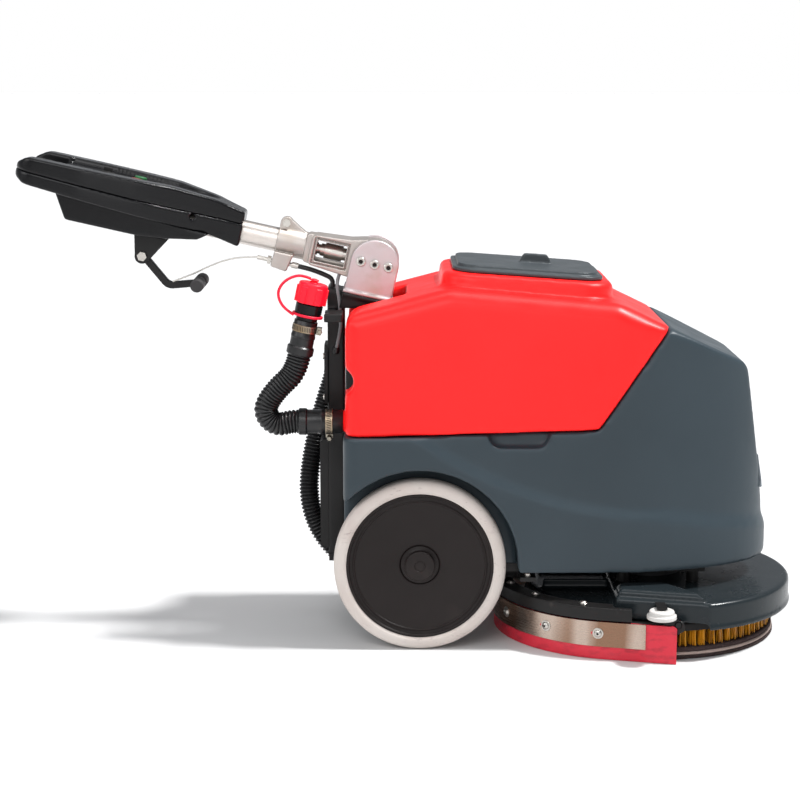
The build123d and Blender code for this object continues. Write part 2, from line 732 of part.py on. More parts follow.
def strip_bolt(angle):
    """A dome bolt on the strip, at an angle about the squeegee's middle, from straight back."""
    turn = radians(angle)
    radius = STRIP[1]
    head = rod_x((-3, 0), 0, 0, 5.5) + rod_x((-0.8, 0), 0, 0, 8)
    place = Pos(SQUEEGEE_X - radius * cos(turn), -radius * sin(turn), 38)
    return place * Rot(0, 0, angle) * head


def make_clamp_bolts():
    """The dome bolts of the strip and those on top of the channel."""
    bolts = strip_bolt(0)
    for angle in (24, 50, 74):
        bolts += both_sides(strip_bolt(angle))
    for angle in (18, 40, 66):
        turn = radians(angle)
        radius = FRAME_WALL[0] - 6
        x = SQUEEGEE_X - radius * cos(turn)
        bolts += both_sides(rod_z(x, -radius * sin(turn), (75, 78.5), 5.5))
    return bolts


# ---- Suction line -------------------------------------------------------------------------------
def make_suction_elbow():
    """The black elbow on the left of the column, which points down into the suction hose."""
    arm = rod_y(-112, (COLUMN_HALF_WIDTH, SUCTION_Y), 442, 11)
    leg = rod_z(-112, SUCTION_Y, (408, 442), 13) + Pos(-112, SUCTION_Y, 442) * Sphere(13)
    return arm + leg


SUCTION_ROUTE = [
    (-112.0, SUCTION_Y, 408.0),
    (-112.0, SUCTION_Y, 386.0),
    (-118.0, SUCTION_Y + 2, 358.0),
    (-129.0, SUCTION_Y + 3, 326.0),
    (-141.0, SUCTION_Y + 2, 282.0),
    (-151.0, SUCTION_Y, 234.0),
    (-155.0, SUCTION_Y - 2, 190.0),
    (-149.0, SUCTION_Y - 3, 152.0),
    (-134.0, SUCTION_Y - 5, 120.0),
    (-110.0, SUCTION_Y - 8, 93.0),
    (-78.0, SUCTION_Y - 13, 74.0),
    (-38.0, SUCTION_Y - 21, 65.0),
    (4.0, SUCTION_Y - 32, 64.0),
    (42.0, SUCTION_Y - 44, 72.0),
    (70.0, 0.0, 82.0),
    (94.0, 0.0, 82.0),
]


def make_suction_hose():
    """The long ribbed hose from the elbow to the squeegee nozzle."""
    return cord("suction_hose", SUCTION_ROUTE, SUCTION_HOSE_RADIUS)


# ---- Handle joint, in the handle's own frame ------------------------------------------------------
CHEEK_INNER = 36
CHEEK_OUTER = 43
ADJUSTER_Y = -14
ADJUSTER_UP = -29.5


def cheek_face():
    """One cheek of the bracket: a half-round top on straight sides."""
    arc = ThreePointArc((34.5, 0), (0, 34.5), (-34.5, 0))
    return make_face(arc + Polyline((-34.5, 0), (-34.5, -43), (34.5, -43), (34.5, 0)))


def make_pivot_bracket():
    """The cast bracket: two cheeks on a base plate."""
    cheek = side_slab(cheek_face(), (CHEEK_INNER, CHEEK_OUTER))
    cheek = fillet(cheek.edges().group_by(Axis.Y)[-1].filter_by(lambda edge: edge.center().Z > -42), 1.5)
    base = block((-36, 36), (-CHEEK_OUTER - 2, CHEEK_OUTER + 2), (-48, -43))
    bracket = both_sides(cheek) + base
    for x in (-20, 0, 20):
        bracket -= rod_y(x, (-60, 60), 0, 4.2)
    return at_pivot(bracket)


def make_pivot_drum():
    """The fixed drum between the cheeks, with a ring groove for the lock pin."""
    drum = rod_y(0, (-CHEEK_INNER, CHEEK_INNER), 0, DRUM_RADIUS)
    groove = rod_y(0, (-10.5, 10.5), 0, 40) - rod_y(0, (-11, 11), 0, 15)
    return at_pivot(drum - groove)


def socket_bolt():
    """A socket bolt along Y whose head stands on the plane y = 0."""
    head = rod_y(0, (0, 4), 0, 6.6) + rod_y(0, (-7, 0), 0, 4.2)
    return head - rod_y(0, (1.5, 5), 0, 3.2)


def make_pivot_bolts():
    """The three socket bolts in each cheek."""
    bolts = None
    for x in (-20, 0, 20):
        pair = both_sides(Pos(x, CHEEK_OUTER, 0) * socket_bolt())
        bolts = pair if bolts is None else bolts + pair
    return at_pivot(bolts)


def knuckle_lug():
    """The clamp lug on top of the knuckle's barrel."""
    face = make_face(
        ThreePointArc((-144, 27), (-135, 36), (-128, 32.6))
        + Polyline((-128, 32.6), (-104, 19), (-104, 12), (-144, 12), (-144, 27))
    )
    return side_slab(face, (-9, 9)) - rod_y(-135, (-20, 20), 27, 3.6)


def make_knuckle():
    """The cast knuckle: hub ring, windowed box, tube barrel, clamp lug and cable block."""
    hub = rod_y(0, (-CHEEK_INNER + 0.5, CHEEK_INNER - 0.5), 0, 31.5)
    box_face = outline((-94, -22, 6), (-94, 20.5, 6), (-40, 25, 4), (-16, 31, 0), (-10, -29, 0), (-38, -27, 4))
    box = side_slab(box_face, (-31, 31))
    barrel = rod_x((-144, -88), 0, 0, 20.5)
    shoulder = side_slab(outline((-102, -20, 4), (-102, 20, 4), (-90, 21, 0), (-90, -22, 0)), (-22, 22))
    cable_block = side_slab(
        outline((-145, -37, 3), (-143.5, -15, 0), (-116, -15, 0), (-121, -40, 3)), (ADJUSTER_Y - 12, ADJUSTER_Y + 12)
    )
    body = hub + box + barrel + shoulder + knuckle_lug() + cable_block
    window = block((-86, -43), (-40, 40), (-15, 16))
    frame_recess = both_sides(block((-90, -39), (27, 40), (-19, 19)) - block((-88, -41), (20, 41), (-17, 17)))
    body -= rod_y(0, (-50, 50), 0, DRUM_RADIUS + RUNNING_GAP)
    body -= rod_x((-150, -98), 0, 0, TUBE_RADIUS)
    body -= rod_x((-98, -20), 0, 0, 9 + RUNNING_GAP)
    body -= window + frame_recess
    body -= rod_x((-150, -100), ADJUSTER_Y, ADJUSTER_UP, 3)
    return at_pivot(body)


def make_lock_pin():
    """The banded lock pin that slides in the knuckle, with its spring sleeve."""
    pin = rod_x((-92, -17), 0, 0, 9)
    pin -= rod_x((-84, -80), 0, 0, 12) - rod_x((-85, -79), 0, 0, 7)
    spring = rod_x((-74, -48), 0, 0, 11.5) - rod_x((-75, -47), 0, 0, 8.9)
    return at_pivot(pin + spring)


def make_handle_tube():
    """The round aluminium tube between the knuckle and the handle housing."""
    tube = rod_x((-330, -98), 0, 0, TUBE_RADIUS) - rod_x((-331, -97), 0, 0, TUBE_RADIUS - 2.5)
    return at_pivot(tube)


def make_cable_adjuster():
    """The threaded adjuster with its nut and the ferrule of the sheath."""
    screw = rod_x((-166, -115.5), ADJUSTER_Y, ADJUSTER_UP, 3)
    nut = Pos(-151, ADJUSTER_Y, ADJUSTER_UP) * Rot(0, 90, 0) * hex_head(6, 5)
    ferrule = rod_x((-115.5, -106), ADJUSTER_Y, ADJUSTER_UP, 4.5)
    bore = rod_x((-170, -100), ADJUSTER_Y, ADJUSTER_UP, 1.2)
    return at_pivot(screw + nut + ferrule - bore)


SHEATH_ROUTE = [
    on_handle(105.8, ADJUSTER_UP, ADJUSTER_Y),
    on_handle(90, ADJUSTER_UP, ADJUSTER_Y),
    on_handle(68, ADJUSTER_UP - 3.0, ADJUSTER_Y),
    on_handle(52, ADJUSTER_UP - 7.0, ADJUSTER_Y),
    on_handle(52, ADJUSTER_UP - 18.2, ADJUSTER_Y),
]


def make_cable_sheath():
    """The black cable sheath from the adjuster to the top of the column."""
    return cord("cable_sheath", SHEATH_ROUTE, 3.5)


CABLE_ROUTE = [
    on_handle(46, -26.6, -26),
    on_handle(47, -35.0, -27),
    (-107.5, -34.5, 503.0),
    (-104.5, -35.5, 488.0),
    (-103.5, -36.0, 472.0),
    (-102.0, -36.0, 452.0),
    (-106.0, -35.0, 430.0),
    (-110.0, -32.8, 412.0),
]


def make_power_cable():
    """The thin grey cable from the knuckle down into the side of the column."""
    return cord("power_cable", CABLE_ROUTE, 2.5)


# ---- Handle housing, in the handle's own frame ------------------------------------------------------
HANDLE_REAR = -516
HANDLE_FRONT = -195
HAND_GAP = (-490, -464)


def handle_plan(inset):
    """The housing from above: a narrow neck that widens to a square-ended loop."""
    half = 97 - inset
    return outline(
        (HANDLE_FRONT - inset, 27 - inset, 0),
        (-222, 34 - inset, 60),
        (-330, 86 - inset, 160),
        (-420, half, 200),
        (HANDLE_REAR + inset, half, 30),
        (HANDLE_REAR + inset, -half, 30),
        (-420, -half, 200),
        (-330, -86 + inset, 160),
        (-222, -34 + inset, 60),
        (HANDLE_FRONT - inset, -27 + inset, 0),
    )


def handle_form():
    """The whole housing as one solid: a long wedge, thick in the middle and blunt at both ends."""
    side = outline(
        (HANDLE_FRONT, 30, 3),
        (-240, 40, 60),
        (-300, 46, 120),
        (-500, 45, 12),
        (HANDLE_REAR, 34, 8),
        (HANDLE_REAR, 17, 8),
        (-500, 8.5, 12),
        (-345, -2, 200),
        (-245, -8.5, 100),
        (HANDLE_FRONT, -20, 3),
    )
    return side_slab(side, (-120, 120)) & floor_slab(handle_plan(0), (-60, 80))


def above_handle_seam(gap):
    """Everything above the line that parts the housing's two shells."""
    seam = [(-540, 27 + gap), (-180, 12.4 + gap), (-180, 90), (-540, 90)]
    return side_slab(make_face(Polyline(*seam, close=True)), (-150, 150))


def panel_recess():
    """The sunken control panel between the side bars."""
    face = outline(
        (-464, 62, 6), (-400, 62, 40), (-300, 38, 60), (-236, 14, 8), (-236, -14, 8), (-300, -38, 60),
        (-400, -62, 40), (-464, -62, 6),
    )
    return floor_slab(face, (38, 90))


def handle_hollow():
    """The room inside the housing, in front of the hand gap."""
    side = outline(
        (-448, 7, 3), (-345, 2, 100), (-250, -4, 20), (-232, -8, 3), (-232, 33, 3), (-448, 34, 3)
    )
    return side_slab(side, (-120, 120)) & floor_slab(handle_plan(4), (-60, 80))


def shell(upper):
    """One half of the housing, hollow, with the seam as its open side."""
    shape = handle_form() - handle_hollow() - panel_recess()
    shape -= block(HAND_GAP, (-62, 62), (-60, 90))
    shape -= block((HANDLE_REAR - 5, HAND_GAP[0] + 0.1), (-62, 62), (31, 90))
    shape -= rod_x((-340, -180), 0, 0, TUBE_RADIUS)
    return shape & above_handle_seam(0.2) if upper else shape - above_handle_seam(-0.2)


def make_upper_shell():
    """The upper half of the housing, with openings for the controls."""
    upper = shell(True)
    for x, y, radius in CONTROL_PLACES:
        upper -= rod_z(x, y, (20, 60), radius + 0.3)
    return at_pivot(upper)


def make_lower_shell():
    """The lower half of the housing, with a screw hole in each flank."""
    return at_pivot(shell(False) - both_sides(rod_y(-265, (40, 110), 10.8, 4)))


def make_control_box():
    """The black box below the housing, with a sloping back."""
    profile = outline(
        (-462, 4.5, 0), (-440, -33, 6), (-342, -33, 40), (-296, -28.5, 40), (-252, -20, 8), (-238, -9.5, 0),
        (-345, -2.4, 0),
    )
    box = side_slab(profile, (-52, 52))
    hollow = side_slab(
        outline((-444, -1, 0), (-434, -29, 4), (-342, -29, 20), (-296, -24.5, 20), (-260, -16, 0), (-345, -6, 0)),
        (-48, 48),
    )
    box = box - handle_form() - hollow - rod_x((-345, -180), 0, 0, TUBE_RADIUS + 0.5)
    return at_pivot(box)


CONTROL_PLACES = ((-400, 0, 9), (-355, -22, 9), (-355, 22, 9))


def make_button(index):
    """A round push button in the panel."""
    x, y, radius = CONTROL_PLACES[index]
    cap = rod_z(x, y, (34.5, 43), radius)
    return at_pivot(fillet(cap.edges().group_by(Axis.Z)[-1], 1.5))


def make_key_switch():
    """The key switch: a round barrel with a flat key bow."""
    x, y, radius = CONTROL_PLACES[0]
    barrel = rod_z(x, y, (34.5, 41.5), radius)
    bow = block((x - 8, x + 8), (y - 1.2, y + 1.2), (41.5, 58))
    bow = fillet(bow.edges().filter_by(Axis.Y).group_by(Axis.Z)[-1], 6)
    return at_pivot(barrel + bow)


# ---- Squeegee lever, in the handle's own frame ---------------------------------------------------------
LEVER_X = -327
LEVER_UP = -64.5
GRIP_X = -240
GRIP_UP = -85.5


def make_lever_bracket():
    """The folded bracket below the box: a top web and two tapering ears."""
    ear = make_face(
        Polyline((-338, LEVER_UP), (-345, -33.2), (-296, -33.2), (-317, -68))
        + ThreePointArc((-317, -68), (LEVER_X - 1, LEVER_UP - 11), (-338, LEVER_UP))
    )
    bracket = both_sides(side_slab(ear, (12, 15))) + block((-345, -300), (-15, 15), (-36.5, -33.2))
    return at_pivot(bracket - rod_y(LEVER_X, (-20, 20), LEVER_UP, 4))


def make_handle_bolts():
    """The lever's pivot bolt and the knuckle's clamp bolt."""
    pivot = rod_y(LEVER_X, (-15, 15), LEVER_UP, 4)
    pivot += Pos(LEVER_X, -15, LEVER_UP) * Rot(90, 0, 0) * hex_head(7, 5)
    pivot += rod_y(LEVER_X, (15, 19), LEVER_UP, 6.5)
    clamp = rod_y(-135, (-9, 9), 27, 3.6) + rod_y(-135, (9, 13), 27, 6)
    clamp += Pos(-135, -9, 27) * Rot(90, 0, 0) * hex_head(6, 4)
    return at_pivot(pivot + clamp)


def make_lever_arm():
    """The bent flat arm of the lever, with its pivot hub."""
    route = FilletPolyline((LEVER_X, LEVER_UP), (-283, -99), (GRIP_X, GRIP_UP), radius=[14])
    arm = side_slab(make_face(offset(route, 5, side=Side.BOTH)), (-6, 6))
    arm += rod_y(LEVER_X, (-11, 11), LEVER_UP, 8.5)
    arm -= rod_y(LEVER_X, (-20, 20), LEVER_UP, 4 + RUNNING_GAP)
    return at_pivot(arm - rod_y(GRIP_X, (-20, 20), GRIP_UP, 5))


def make_lever_grip():
    """The cross bar of the lever with a rounded rubber grip on each side."""
    grip = rod_y(GRIP_X, (-44, 44), GRIP_UP, 5)
    for low, high in ((-44, -6.5), (6.5, 44)):
        sleeve = rod_y(GRIP_X, (low, high), GRIP_UP, 9.5)
        grip += fillet(sleeve.edges().filter_by(GeomType.CIRCLE), 2.5)
    return at_pivot(grip)


WIRE_ROUTE = [
    on_handle(277, -90.5, ADJUSTER_Y),
    on_handle(254, -76.0, ADJUSTER_Y),
    on_handle(233, -59.5, ADJUSTER_Y),
    on_handle(212, -45.0, ADJUSTER_Y),
    on_handle(189, -34.5, ADJUSTER_Y),
    on_handle(166, ADJUSTER_UP, ADJUSTER_Y),
]


def make_lift_wire():
    """The thin steel wire from the lever to the adjuster, with its end ferrule."""
    wire = cord("lift_wire", WIRE_ROUTE, 1.1)
    start, end = Vector(*WIRE_ROUTE[0]), Vector(*WIRE_ROUTE[1])
    along = (end - start).normalized()
    ferrule = Plane(origin=start - along * 2, z_dir=along) * Pos(0, 0, 10) * Cylinder(2.6, 20)
    return wire + ferrule


# ---- All nodes --------------------------------------------------------------------------------------------
def make_all():
    """Every node's name and its shape."""
    tyre, wheel, roller = make_tyre(), make_wheel(), make_roller()
    return {
        "chassis_frame": make_chassis(),
        "rear_column": make_column(),
        "column_covers": make_column_covers(),
        "frame_screws": make_frame_screws(),
        "axle": make_axle(),
        "wheel_bearings": make_bearings(),
        "solution_tank": make_solution_tank(),
        "front_plate": make_front_plate(),
        "battery_pack": make_battery(),
        "vacuum_motor": make_vacuum_motor(),
        "pivot_bracket": make_pivot_bracket(),
        "pivot_drum": make_pivot_drum(),
        "pivot_bolts": make_pivot_bolts(),
        "suction_elbow": make_suction_elbow(),
        "suction_hose": make_suction_hose(),
        "deck_housing": make_deck(),
        "deck_pins": make_deck_pins(),
        "brush_gearmotor": make_gearmotor(),
        "cable_sheath": make_cable_sheath(),
        "power_cable": make_power_cable(),
        "right_tyre": mirrored(tyre),
        "right_wheel": mirrored(wheel),
        "left_tyre": tyre,
        "left_wheel": wheel,
        "drive_hub": make_drive_hub(),
        "pad_driver": make_pad_driver(),
        "driver_tufts": make_tufts(),
        "floor_pad": make_floor_pad(),
        "squeegee_frame": make_squeegee_frame(),
        "inner_blade": make_inner_blade(),
        "outer_blade": make_outer_blade(),
        "clamp_strip": make_clamp_strip(),
        "clamp_bolts": make_clamp_bolts(),
        "right_roller": mirrored(roller),
        "left_roller": roller,
        "recovery_tank": make_recovery_tank(),
        "drain_cuffs": make_drain_cuffs(),
        "drain_hose": make_drain_hose(),
        "hose_clamps": make_hose_clamps(),
        "drain_neck": make_drain_neck(),
        "float_filter": make_float_filter(),
        "drain_cap": make_drain_cap(),
        "cap_tether": make_cap_tether(),
        "tank_lid": make_lid(),
        "lid_seal": make_lid_seal(),
        "knuckle": make_knuckle(),
        "handle_tube": make_handle_tube(),
        "upper_shell": make_upper_shell(),
        "lower_shell": make_lower_shell(),
        "control_box": make_control_box(),
        "lever_bracket": make_lever_bracket(),
        "handle_bolts": make_handle_bolts(),
        "cable_adjuster": make_cable_adjuster(),
        "lever_arm": make_lever_arm(),
        "lever_grip": make_lever_grip(),
        "lift_wire": make_lift_wire(),
        "lock_pin": make_lock_pin(),
        "key_switch": make_key_switch(),
        "brush_button": make_button(1),
        "vacuum_button": make_button(2),
    }


os.makedirs("parts", exist_ok=True)
for node, shape in make_all().items():
    export_step(shape, f"parts/{node}.step")
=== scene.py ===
"""The looks of a walk-behind floor scrubber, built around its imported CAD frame.

Metres. +X is forward, +Y is the machine's left and +Z is up, as in the CAD. Soft moulded and cast
pieces are CAD shapes remeshed and rounded; hoses, bristles, wheels and bolts are built here.
"""
import json
from math import cos, pi, radians, sin
from random import Random

import bmesh
import bpy
import numpy as np
from mathutils import Matrix, Vector


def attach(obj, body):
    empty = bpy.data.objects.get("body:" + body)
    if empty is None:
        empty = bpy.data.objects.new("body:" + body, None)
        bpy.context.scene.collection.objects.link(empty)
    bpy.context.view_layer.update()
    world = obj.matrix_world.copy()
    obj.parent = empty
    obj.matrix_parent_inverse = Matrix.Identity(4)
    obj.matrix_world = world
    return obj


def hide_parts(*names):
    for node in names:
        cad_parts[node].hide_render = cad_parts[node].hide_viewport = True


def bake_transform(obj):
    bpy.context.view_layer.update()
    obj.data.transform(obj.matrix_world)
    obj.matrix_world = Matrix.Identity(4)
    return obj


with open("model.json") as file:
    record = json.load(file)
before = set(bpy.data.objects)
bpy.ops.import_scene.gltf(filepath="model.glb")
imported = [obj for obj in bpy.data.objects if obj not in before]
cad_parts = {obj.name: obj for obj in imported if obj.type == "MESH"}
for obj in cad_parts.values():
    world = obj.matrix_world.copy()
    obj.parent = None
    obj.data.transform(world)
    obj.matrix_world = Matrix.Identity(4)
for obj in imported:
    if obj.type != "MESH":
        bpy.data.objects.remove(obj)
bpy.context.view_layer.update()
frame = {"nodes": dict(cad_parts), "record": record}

BODY_OF = {
    node: body for body, nodes in frame["record"]["behaviour"]["bodies"].items() for node in nodes
}
SLOT_OF = {part["node"]: part["material_slot"] for part in frame["record"]["subparts"]}


# ---- Camera and light --------------------------------------------------------------------------
CAMERA_PLACE = (-0.018, -2.750, 0.830)
CAMERA_PITCH = 10.2
CAMERA_LENS = 86.2
SENSOR_WIDTH = 36


def make_camera():
    """The camera at the machine's right side, looking slightly down."""
    data = bpy.data.cameras.new("camera")
    data.lens = CAMERA_LENS
    data.sensor_width = SENSOR_WIDTH
    camera = bpy.data.objects.new("camera", data)
    camera.location = CAMERA_PLACE
    camera.rotation_euler = (radians(90 - CAMERA_PITCH), 0, 0)
    bpy.context.scene.collection.objects.link(camera)
    bpy.context.scene.camera = camera


def make_area_light(name, place, target, size, power):
    """A rectangular soft light at a place, aimed at a target."""
    data = bpy.data.lights.new(name, "AREA")
    data.shape = "RECTANGLE"
    data.size, data.size_y = size
    data.energy = power
    light = bpy.data.objects.new(name, data)
    light.location = place
    aim = Vector(target) - Vector(place)
    light.rotation_euler = aim.to_track_quat("-Z", "Y").to_euler()
    bpy.context.scene.collection.objects.link(light)


# Name, place, target, size and power of each soft light.
SOFTBOXES = (
    ("side_softbox", (-0.7, -2.2, 2.0), (0, 0, 0.3), (2.0, 1.2), 32),
    ("rear_softbox", (-2.2, -0.9, 1.6), (-0.2, 0, 0.45), (1.2, 1.2), 16),
    ("front_fill", (0.2, -3.0, 0.9), (0, 0, 0.25), (1.6, 0.9), 8),
    ("overhead", (-0.1, -0.1, 2.6), (-0.1, 0, 0.4), (1.8, 0.7), 16),
)
SUN_DIRECTION = (-0.62, 0.04, -1.0)
SUN_POWER = 5.6
SUN_WIDTH = radians(8)


def make_sun():
    """The key light from ahead of the machine, which throws its shadow back across the floor."""
    data = bpy.data.lights.new("key", "SUN")
    data.energy = SUN_POWER
    data.angle = SUN_WIDTH
    light = bpy.data.objects.new("key", data)
    light.rotation_euler = Vector(SUN_DIRECTION).to_track_quat("-Z", "Y").to_euler()
    bpy.context.scene.collection.objects.link(light)


# Height in the surround's own 0 to 1 scale, with the colour there.
HORIZON = (0.03, (1, 1, 1, 1))
OVERHEAD = (0.10, (0.31, 0.32, 0.34, 1))


def make_world():
    """A white surround that is darker overhead, so that dark gloss keeps its depth."""
    world = bpy.data.worlds.new("surround")
    world.use_nodes = True
    nodes, links = world.node_tree.nodes, world.node_tree.links
    place = nodes.new("ShaderNodeTexCoord")
    split = nodes.new("ShaderNodeSeparateXYZ")
    ramp = nodes.new("ShaderNodeValToRGB")
    for stop, (height, colour) in zip(ramp.color_ramp.elements, (HORIZON, OVERHEAD)):
        stop.position = height
        stop.color = colour
    links.new(place.outputs["Generated"], split.inputs["Vector"])
    links.new(split.outputs["Z"], ramp.inputs["Fac"])
    links.new(ramp.outputs["Color"], nodes["Background"].inputs["Color"])
    nodes["Background"].inputs["Strength"].default_value = 1.0
    bpy.context.scene.world = world


FLOOR_REACH = 40


def make_floor():
    """The plain pale floor."""
    finish = Finish("floor_pale", (0.60, 0.60, 0.60), 0.8, specular=0.1)
    mesh = bpy.data.meshes.new("floor")
    corners = [(x * FLOOR_REACH, y * FLOOR_REACH, 0) for x, y in ((-1, -1), (1, -1), (1, 1), (-1, 1))]
    mesh.from_pydata(corners, [], [(0, 1, 2, 3)])
    floor = bpy.data.objects.new("floor", mesh)
    mesh.materials.append(finish.material)
    bpy.context.scene.collection.objects.link(floor)


# ---- Finishes ----------------------------------------------------------------------------------
class Finish:
    """A procedural material, built up from a base colour in layers of tint, wear and relief."""

    def __init__(self, name, colour, roughness, metallic=0.0, specular=0.5):
        self.material = bpy.data.materials.new(name)
        self.material.use_nodes = True
        self.nodes = self.material.node_tree.nodes
        self.links = self.material.node_tree.links
        self.shader = self.nodes["Principled BSDF"]
        self.set("Base Color", (*colour, 1))
        self.set("Roughness", roughness)
        self.set("Metallic", metallic)
        self.set("Specular IOR Level", specular)
        self.place = self.nodes.new("ShaderNodeTexCoord").outputs["Object"]
        self.colour = None
        self.normal = None

    def set(self, socket, value):
        """Sets one plain value of the shader."""
        self.shader.inputs[socket].default_value = value

    def noise(self, size, detail=3, stretch=(1, 1, 1)):
        """A noise pattern whose features are about this size, in metres."""
        scaled = self.nodes.new("ShaderNodeMapping")
        scaled.inputs["Scale"].default_value = [1 / (size * factor) for factor in stretch]
        pattern = self.nodes.new("ShaderNodeTexNoise")
        pattern.inputs["Scale"].default_value = 1
        pattern.inputs["Detail"].default_value = detail
        self.links.new(self.place, scaled.inputs["Vector"])
        self.links.new(scaled.outputs["Vector"], pattern.inputs["Vector"])
        return pattern.outputs["Fac"]

    def cells(self, size):
        """Distances to scattered points that are about this far apart, in metres."""
        pattern = self.nodes.new("ShaderNodeTexVoronoi")
        pattern.inputs["Scale"].default_value = 1 / size
        self.links.new(self.place, pattern.inputs["Vector"])
        return pattern.outputs["Distance"]

    def band(self, value, low, high):
        """A value spread so that low becomes 0 and high becomes 1."""
        spread = self.nodes.new("ShaderNodeMapRange")
        spread.inputs["From Min"].default_value = low
        spread.inputs["From Max"].default_value = high
        self.links.new(value, spread.inputs["Value"])
        return spread.outputs["Result"]

    def times(self, value, other):
        """The product of two values."""
        product = self.nodes.new("ShaderNodeMath")
        product.operation = "MULTIPLY"
        self.links.new(value, product.inputs[0])
        self.links.new(other, product.inputs[1])
        return product.outputs["Value"]

    def tint(self, share, colour):
        """Mixes another colour in where the share is high."""
        mix = self.nodes.new("ShaderNodeMix")
        mix.data_type = "RGBA"
        base, top = mix.inputs[6], mix.inputs[7]
        if self.colour is None:
            base.default_value = self.shader.inputs["Base Color"].default_value[:]
        else:
            self.links.new(self.colour, base)
        top.default_value = (*colour, 1)
        self.links.new(share, mix.inputs[0])
        self.colour = mix.outputs[2]
        self.links.new(self.colour, self.shader.inputs["Base Color"])
        return self

    def roughen(self, value, low, high):
        """Lets the roughness run from low to high with a value between 0 and 1."""
        spread = self.nodes.new("ShaderNodeMapRange")
        spread.inputs["To Min"].default_value = low
        spread.inputs["To Max"].default_value = high
        self.links.new(value, spread.inputs["Value"])
        self.links.new(spread.outputs["Result"], self.shader.inputs["Roughness"])
        return self

    def relief(self, value, depth):
        """Raises the surface with a value, by a depth in metres."""
        bump = self.nodes.new("ShaderNodeBump")
        bump.inputs["Strength"].default_value = 1
        bump.inputs["Distance"].default_value = depth
        self.links.new(value, bump.inputs["Height"])
        if self.normal is not None:
            self.links.new(self.normal, bump.inputs["Normal"])
        self.normal = bump.outputs["Normal"]
        self.links.new(self.normal, self.shader.inputs["Normal"])
        return self


def linear_level(level):
    """One standard display level between 0 and 1, as linear light."""
    if level <= 0.04045:
        return level / 12.92
    return ((level + 0.055) / 1.055) ** 2.4


def linear(red, green, blue):
    """A colour given in the usual 0 to 255 levels, as linear light."""
    return tuple(linear_level(level / 255) for level in (red, green, blue))


MOULD_GRAIN = 0.0008
MOULD_GRAIN_DEPTH = 0.00006


def moulded(name, colour, roughness, specular=0.4):
    """Moulded plastic: a fine grain, faint cloudiness and a little handling wear."""
    finish = Finish(name, colour, roughness, specular=specular)
    lighter = tuple(min(1.0, 0.002 + 1.15 * level) for level in colour)
    finish.tint(finish.band(finish.noise(0.22, 4), 0.35, 0.75), lighter)
    finish.roughen(finish.noise(0.035, 5), roughness - 0.10, roughness + 0.12)
    finish.relief(finish.noise(MOULD_GRAIN, 2), MOULD_GRAIN_DEPTH)
    finish.relief(finish.noise(0.05, 2), 0.0005)
    return finish


def cast(name, colour, roughness=0.42):
    """Bead-blasted cast aluminium: bright, dull grain with darker stains and small pits."""
    finish = Finish(name, colour, roughness, metallic=0.85)
    finish.tint(finish.band(finish.noise(0.030, 5), 0.50, 0.80), linear(168, 158, 148))
    finish.roughen(finish.noise(0.010, 4), roughness - 0.08, roughness + 0.14)
    finish.relief(finish.noise(0.0007, 3), 0.00010)
    finish.relief(finish.band(finish.cells(0.004), 0.10, 0.0), -0.00008)
    return finish


def brushed(name, colour, roughness, stretch, warmth=None):
    """Brushed metal with fine lines along one direction."""
    finish = Finish(name, colour, roughness, metallic=1.0)
    lines = finish.noise(0.0009, 3, stretch)
    finish.roughen(lines, roughness - 0.10, roughness + 0.12)
    finish.relief(lines, 0.00002)
    if warmth is not None:
        finish.tint(finish.band(finish.noise(0.06, 2), 0.40, 0.70), warmth)
    return finish


def rubber(name, colour, roughness, dust=None, specular=0.3):
    """Matte rubber with a fine grain and, if given, a dusty bloom."""
    finish = Finish(name, colour, roughness, specular=specular)
    if dust is not None:
        finish.tint(finish.band(finish.noise(0.018, 6), 0.52, 0.80), dust)
    finish.roughen(finish.noise(0.006, 4), roughness - 0.10, roughness + 0.15)
    finish.relief(finish.noise(0.0006, 3), 0.00005)
    return finish


def tyre_finish():
    """Grey non-marking rubber with dark scuffs, smears and grit."""
    finish = rubber("tyre_grey", linear(192, 184, 178), 0.72)
    finish.tint(finish.band(finish.noise(0.060, 4), 0.42, 0.72), linear(182, 170, 164))
    smears = finish.band(finish.noise(0.012, 6, (1, 1, 0.35)), 0.60, 0.72)
    smeared_areas = finish.band(finish.noise(0.05, 2), 0.45, 0.62)
    finish.tint(finish.times(smears, smeared_areas), linear(150, 138, 135))
    grit = finish.band(finish.noise(0.0022, 2), 0.70, 0.76)
    gritty_areas = finish.band(finish.noise(0.03, 3), 0.50, 0.66)
    finish.tint(finish.times(grit, gritty_areas), linear(70, 62, 60))
    return finish.relief(finish.noise(0.004, 5), 0.00025)


def wheel_finish():
    """The near-black wheel disc, with a brown cast and faint dust."""
    finish = moulded("wheel_black", linear(24, 18, 17), 0.46, specular=0.20)
    return finish.tint(finish.band(finish.noise(0.07, 6), 0.58, 0.85), linear(46, 39, 37))


def blade_finish(name, colour, streak, depth):
    """Squeegee blade: translucent rubber with rubbed and dirty streaks."""
    finish = Finish(name, colour, 0.42, specular=0.4)
    finish.set("Subsurface Weight", 0.25)
    finish.set("Subsurface Radius", (0.006, 0.002, 0.0015))
    finish.tint(finish.band(finish.noise(0.020, 6, (1, 1, 0.4)), 0.48, 0.78), streak)
    finish.roughen(finish.noise(0.01, 4), 0.30, 0.60)
    return finish.relief(finish.noise(0.006, 4), depth)


def strip_finish():
    """The bright clamp strip: stainless steel, with warm, uneven reflections painted into its colour."""
    finish = Finish("strip_steel", linear(172, 156, 144), 0.26, metallic=1.0)
    # Warm bands of painted reflection in the steel's colour.
    finish.tint(finish.band(finish.noise(0.050, 1, (1, 1, 8)), 0.42, 0.60), linear(128, 100, 82))
    lines = finish.noise(0.0008, 3, (30, 30, 1))
    finish.roughen(lines, 0.20, 0.34)
    return finish.relief(lines, 0.000015)


